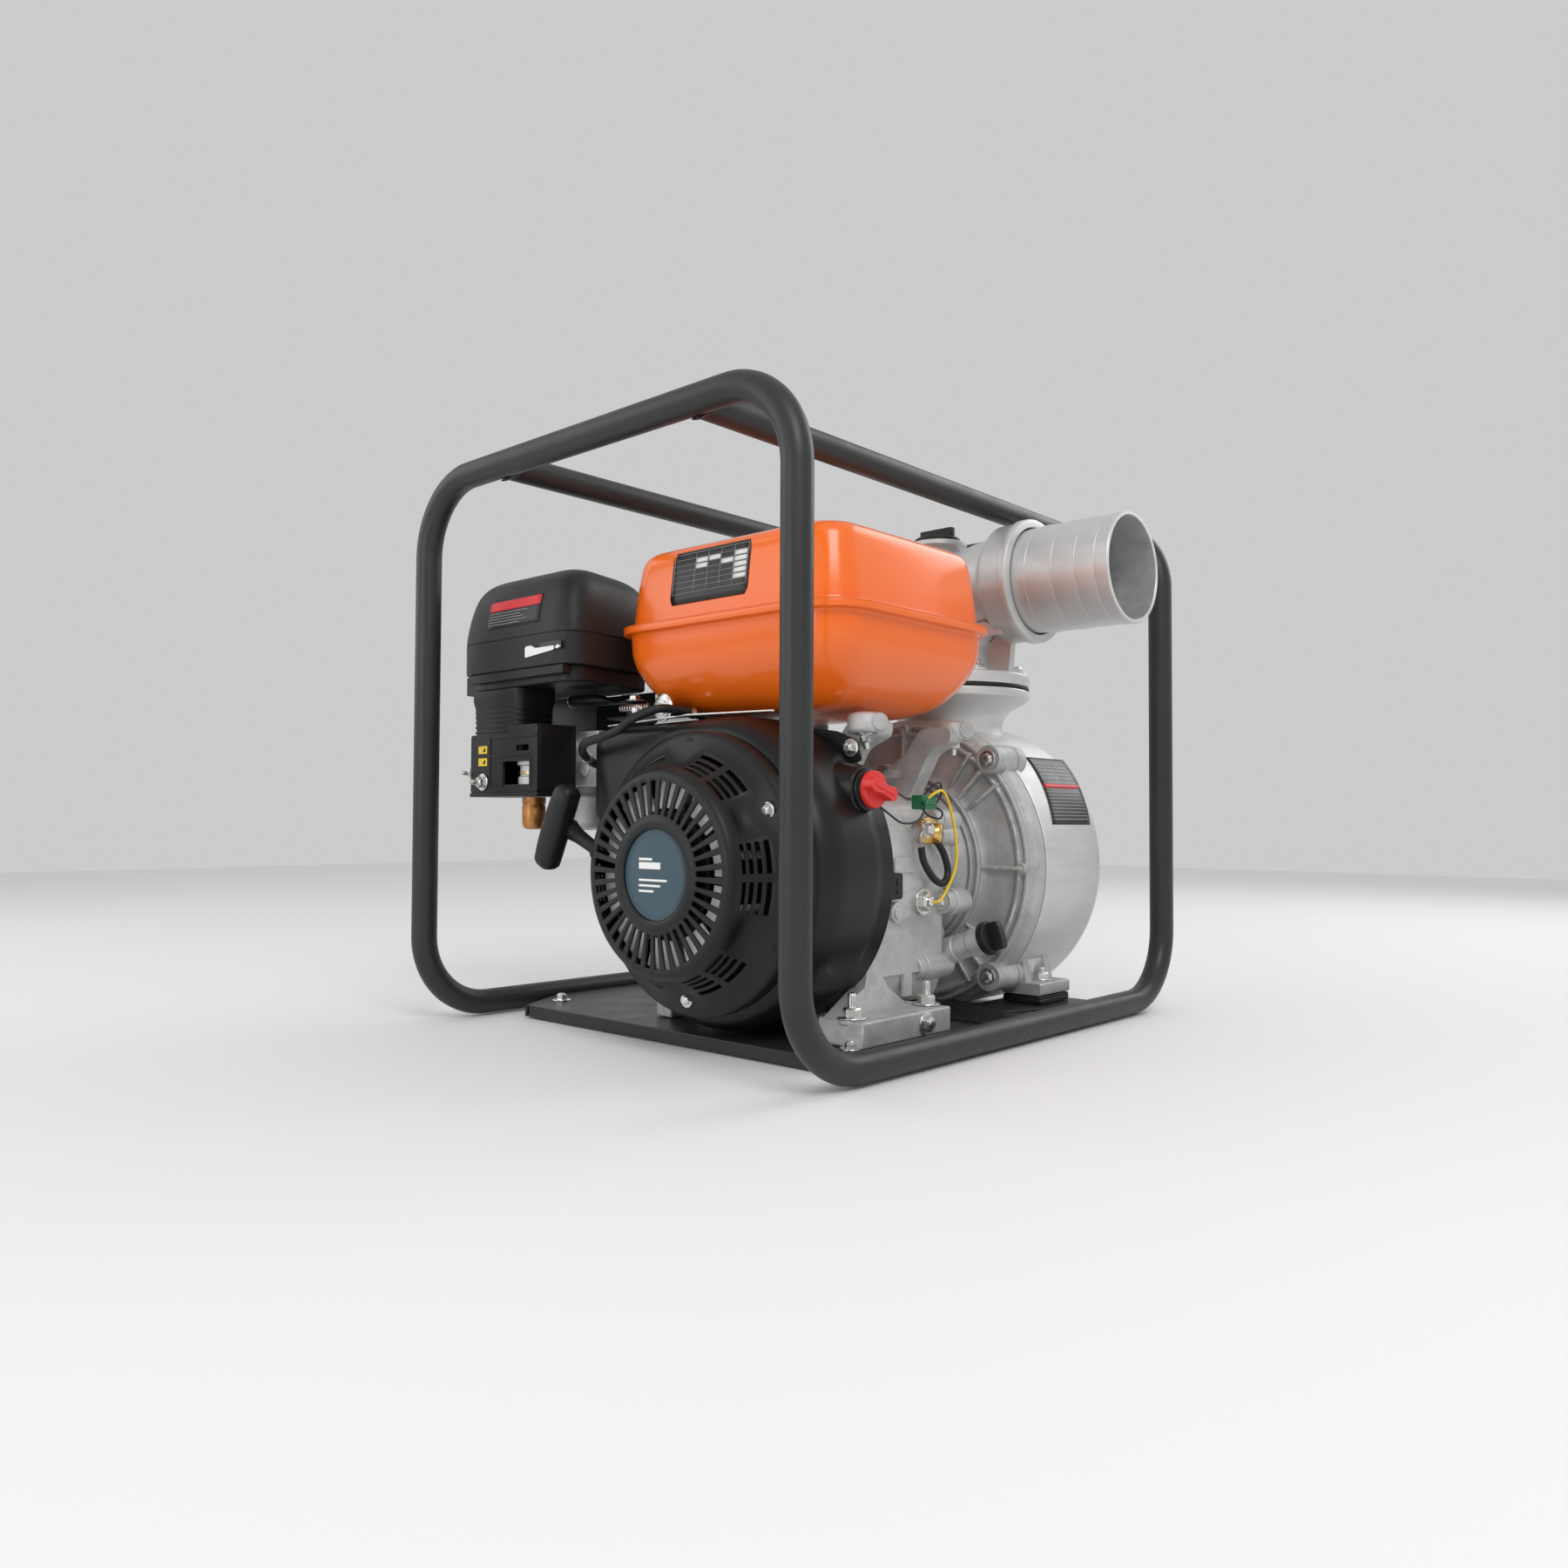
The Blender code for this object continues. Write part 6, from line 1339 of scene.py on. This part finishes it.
def build_outlet():
    low = 0.3372
    elbow = Shape()
    route = bent([(OUTLET.x, OUTLET.y, low + 0.006), tuple(OUTLET), (0.150, OUTLET.y, OUTLET.z)], 0.066, 28)
    rings, inner = [], []
    for k, spot in enumerate(route):
        ahead = route[min(k + 1, len(route) - 1)] - route[max(k - 1, 0)]
        tangent = ahead.normalized()
        side = Vector((0, 1, 0))
        normal = side.cross(tangent).normalized()
        rings.append([spot + (side * math.cos(math.tau * i / 72) + normal * math.sin(math.tau * i / 72))
                      * 0.0500
                      for i in range(72)])
        inner.append([spot + (side * math.cos(math.tau * i / 72) + normal * math.sin(math.tau * i / 72))
                      * 0.0450
                      for i in range(72)])
    elbow.skin(rings, False, False)
    elbow.skin(inner, False, False)
    elbow.lathe([(0.045, low), (0.0825, low), (0.0835, low + 0.0010), (0.0835, low + 0.0112),
                 (0.0820, low + 0.0128),
                 (0.0600, low + 0.0135), (0.0530, low + 0.0165), (0.0502, low + 0.0230),
                 (0.045, low + 0.0230)],
                (OUTLET.x, OUTLET.y, 0), (0, 0, 1), 96, closed=True)
    elbow.lathe([(0.0495, 0.1280), (0.0515, 0.1310), (0.0540, 0.1345), (0.0596, 0.1385), (0.0606, 0.1400),
                 (0.0606, 0.1600),
                 (0.0612, 0.1612), (0.0628, 0.1618), (0.0632, 0.1626), (0.0632, 0.1694), (0.0624, 0.1706),
                 (0.0600, 0.1715),
                 (0.0545, 0.1715), (0.0545, 0.1500), (0.0495, 0.1480)], (0, OUTLET.y, OUTLET.z),
                (1, 0, 0), 96,
                closed=True)
    elbow.prism([(0.1020, low + 0.010), (0.1400, low + 0.010), (0.1440, 0.392), (0.1290, 0.392),
                 (0.1150, 0.3820)], "Y",
                OUTLET.y - 0.0045, OUTLET.y + 0.0045)
    for off in (-0.030, 0.030):
        elbow.prism([(0.128, 0.401), (0.1460, 0.392), (0.1490, 0.386), (0.1300, 0.386), (0.1050, 0.398)],
                    "Y",
                    OUTLET.y + off - 0.0035, OUTLET.y + off + 0.0035)
    for angle in (35, 145, 215, 325):
        a = math.radians(angle)
        spot = (OUTLET.x + 0.070 * math.cos(a), OUTLET.y + 0.070 * math.sin(a))
        elbow.rod((spot[0], spot[1], low + 0.010), (spot[0], spot[1], low + 0.0155), 0.0115)
    cap_at = Vector((0.0475, 0.155, 0.4975))
    elbow.rod((cap_at.x, cap_at.y, 0.400), (cap_at.x, cap_at.y, cap_at.z - 0.004), 0.0245, 0.0238, sides=56)
    elbow.lathe([(0.0165, -0.0070), (0.0245, -0.0070), (0.0310, -0.0055), (0.0318, -0.0045),
                 (0.0318, -0.0008), (0.0312, 0.0),
                 (0.0165, 0.0)], cap_at, (0, 0, 1), 64, closed=True)
    fit(elbow.done("skin_discharge_elbow", "cast_satin", bevel=0.0010, angle=40),
        replaces=("discharge_elbow",))
    for angle in (35, 145, 215, 325):
        a = math.radians(angle)
        bolt((OUTLET.x + 0.070 * math.cos(a), OUTLET.y + 0.070 * math.sin(a), low + 0.0155), (0, 0, 1),
             0.0120, 0.0065,
             0.0110, stem="flange_bolt")
    cap = Shape().lathe([(0, -0.010), (0.0155, -0.010), (0.0155, 0.0003), (0.0245, 0.0003), (0.0250, 0.0010),
                         (0.0250, 0.0045), (0.0235, 0.0060), (0, 0.0064)], cap_at, (0, 0, 1), 56)
    cap.prism(rounded([(cap_at.x - 0.0210, cap_at.y - 0.0045), (cap_at.x + 0.0210, cap_at.y - 0.0045),
                       (cap_at.x + 0.0210, cap_at.y + 0.0045), (cap_at.x - 0.0210, cap_at.y + 0.0045)],
                      0.003, 3), "Z",
              cap_at.z + 0.005, cap_at.z + 0.0163)
    fit(cap.done("skin_priming_cap", "black_plastic", bevel=0.0010), "priming_cap",
        replaces=("priming_cap",))
    for name, at, way, start, end in (
            ("discharge_barb", (0, OUTLET.y, OUTLET.z), (1, 0, 0), 0.1488, 0.2758),
            ("suction_barb", (CX, 0, SUCTION_Z), (0, 1, 0), 0.2356, 0.3345)):
        r = 0.0540
        rows = [(0.0462, start), (0.0516, start), (0.0528, start + 0.020)]
        if name == "suction_barb":
            rows = [(0.0462, start), (0.0650, start), (0.0658, start + 0.0012), (0.0658, start + 0.0110),
                    (0.0645, start + 0.0125), (0.0560, start + 0.0135), (0.0530, start + 0.0170)]
        span = end - (start + 0.024)
        for share in (0.14, 0.42, 0.66, 0.86):
            base = start + 0.024 + span * share
            rows += [(r - 0.0008, base - 0.0006), (r - 0.0012, base), (r - 0.0002, base + 0.0006),
                     (r, base + 0.0016)]
        rows += [(r, end - 0.0012), (r - 0.0006, end), (0.0508, end), (0.0502, end - 0.0008),
                 (0.0498, start + 0.035),
                 (0.0462, start + 0.024)]
        shape = Shape().lathe(rows, at, way, 128, closed=True)
        fit(shape.done("skin_" + name, "cast_satin", limit=25), replaces=(name,))
        lining = Shape().lathe([(0.0500, end - 0.0010), (0.0496, start + 0.036),
                                (0.0460, start + 0.0245)], at, way, 96)
        fit(lining.done(name + "_lining", "cast_rough"))
    for angle in (45, 135, 225, 315):
        a = math.radians(angle)
        bolt((CX + 0.0600 * math.cos(a), 0.2465, SUCTION_Z + 0.0600 * math.sin(a)), (0, 1, 0), 0.0085,
             0.0045, 0.0062,
             stem="suction_bolt")


def build_wiring():
    nut = Shape().lathe([(0, 0.0), (0.0125, 0.0), (0.0125, 0.0016), (0, 0.0016)],
                        (0.1617, -0.032, 0.1230), (1, 0, 0), 36)
    nut.hexagon((0.1630, -0.032, 0.1230), (0.1690, -0.032, 0.1230), 0.0155)
    nut.lathe([(0, 0.006), (0.0052, 0.006), (0.0048, 0.0100), (0.0026, 0.0112), (0, 0.0112)],
              (0.1617, -0.032, 0.1230),
              (1, 0, 0), 28)
    fit(nut.done("skin_oil_level_switch", "zinc", bevel=0.0004), replaces=("oil_level_switch",))
    sensor = Vector((0.1725, -0.032, 0.1230))
    route = smooth_route([sensor, sensor + Vector((0.004, 0.004, 0.001)), (0.1740, -0.012, 0.134),
                          (0.1715, 0.006, 0.155),
                          (0.1700, 0.008, 0.180), (0.1710, -0.002, 0.206), (0.1740, -0.018, 0.2225),
                          (0.1750, -0.034, 0.2205), (0.1700, -0.040, 0.2140)], 10)
    fit(tube("skin_yellow_wire", route, 0.0013, "yellow_wire", 4), replaces=("yellow_wire",))
    loop = smooth_route([(0.1650, -0.040, 0.172), (0.1665, -0.037, 0.158), (0.1690, -0.026, 0.144),
                         (0.1690, -0.011, 0.139), (0.1680, -0.002, 0.149), (0.1665, -0.006, 0.165),
                         (0.1650, -0.016, 0.178)], 12)
    fit(tube("skin_ground_lead", loop, 0.0033, "rubber", 5), replaces=("ground_lead",))
    fit(tube("ground_lead_core", smooth_route([(0.1650, -0.040, 0.172), (0.1645, -0.040, 0.182),
                                               (0.1640, -0.034, 0.190)],
                                              5), 0.0012, "steel", 3))
    # plug-in connector, its thin black leads and the brass clip with its bolt
    plug = Shape()
    plug.prism(rounded([(-0.048, 0.206), (-0.026, 0.206), (-0.026, 0.219), (-0.048, 0.219)], 0.0022, 3),
               "X", 0.1600, 0.1725)
    plug.box((0.1725, -0.0455, 0.2105), (0.1740, -0.0285, 0.2150))
    fit(plug.done("lead_connector", "green_plastic", bevel=0.0012, segments=3))
    clip = Shape()
    clip.prism(rounded([(-0.036, 0.1760), (-0.0095, 0.1745), (-0.0095, 0.1930), (-0.022, 0.1985),
                        (-0.036, 0.1975)],
                       0.003, 4), "X", 0.1618, 0.1634)
    clip.skin([[Vector((0.1634 + 0.0060 * math.sin(math.pi * i / 12), -0.0210 + 0.0120 * i / 12, z))
                for i in range(13)] for z in (0.1752, 0.1935)], False, False, closed=False)
    obj = clip.done("ground_clip", "brass", bevel=0.0005)
    thick = obj.modifiers.new("thick", "SOLIDIFY")
    thick.thickness = 0.0010
    thick.offset = 0
    fit(obj)
    bolt((0.1634, -0.0285, 0.1880), (1, 0, 0), 0.0105, 0.0045, 0.0082, stem="ground_bolt")
    leads = (
        [(0.1700, -0.0460, 0.2140), (0.1800, -0.0560, 0.2060), (0.1900, -0.0800, 0.1960),
         (0.1960, -0.1100, 0.1940),
         (0.1960, -0.1300, 0.2020), (0.1925, -0.1400, 0.2090)],
        [(0.1700, -0.0440, 0.2180), (0.1760, -0.0360, 0.2280), (0.1740, -0.0230, 0.2300),
         (0.1720, -0.0190, 0.2200),
         (0.1720, -0.0260, 0.2120)],
        [(0.1715, -0.0290, 0.2090), (0.1740, -0.0200, 0.2040), (0.1730, -0.0230, 0.1980),
         (0.1700, -0.0360, 0.2010),
         (0.1700, -0.0460, 0.2070)])
    for k, line in enumerate(leads):
        fit(tube(f"switch_lead_{k}", smooth_route(line, 10), 0.0009, "rubber", 3))


def build_floor():
    shape = Shape().box((-4, -4, -0.02), (4, 4, -0.0006))
    floor = shape.done("floor", "label_white", flat=True)
    pale = bpy.data.materials.new("floor_pale")
    pale.use_nodes = True
    pale.node_tree.nodes["Principled BSDF"].inputs["Base Color"].default_value = (0.86, 0.86, 0.86, 1)
    pale.node_tree.nodes["Principled BSDF"].inputs["Roughness"].default_value = 0.7
    floor.data.materials.clear()
    floor.data.materials.append(pale)


def build_lights():
    world = bpy.data.worlds.new("studio")
    bpy.context.scene.world = world
    world.use_nodes = True
    world.node_tree.nodes["Background"].inputs[0].default_value = (1.0, 1.0, 1.0, 1)
    world.node_tree.nodes["Background"].inputs[1].default_value = 0.60
    for name, at, size, power, tint in (
            ("key", (1.6, -1.2, 1.9), 1.1, 22, (1.0, 0.99, 0.97)),
            ("fill", (-1.8, -1.5, 1.2), 1.6, 9, (0.97, 0.98, 1.0)),
            ("rim", (0.6, 2.0, 1.6), 1.4, 15, (1.0, 1.0, 1.0)),
            ("front_strip", (-0.2, -2.2, 0.6), 0.8, 6, (1.0, 1.0, 1.0))):
        data = bpy.data.lights.new(name, "AREA")
        data.size = size
        data.energy = power
        data.color = tint
        lamp = bpy.data.objects.new(name, data)
        lamp.location = at
        lamp.rotation_euler = (Vector((0, 0, 0.25)) - Vector(at)).to_track_quat("-Z", "Y").to_euler()
        bpy.context.scene.collection.objects.link(lamp)


build_frame()
build_supports()
build_crankcase()
build_side_cover()
build_shroud()
build_recoil()
build_fan()
build_switch()
build_tank()
build_brackets()
build_cleaner()
build_controls()
build_exhaust()
build_pump()
build_outlet()
build_wiring()
build_floor()
build_lights()
bpy.context.scene.view_settings.view_transform = "Standard"

bpy.context.view_layer.update()
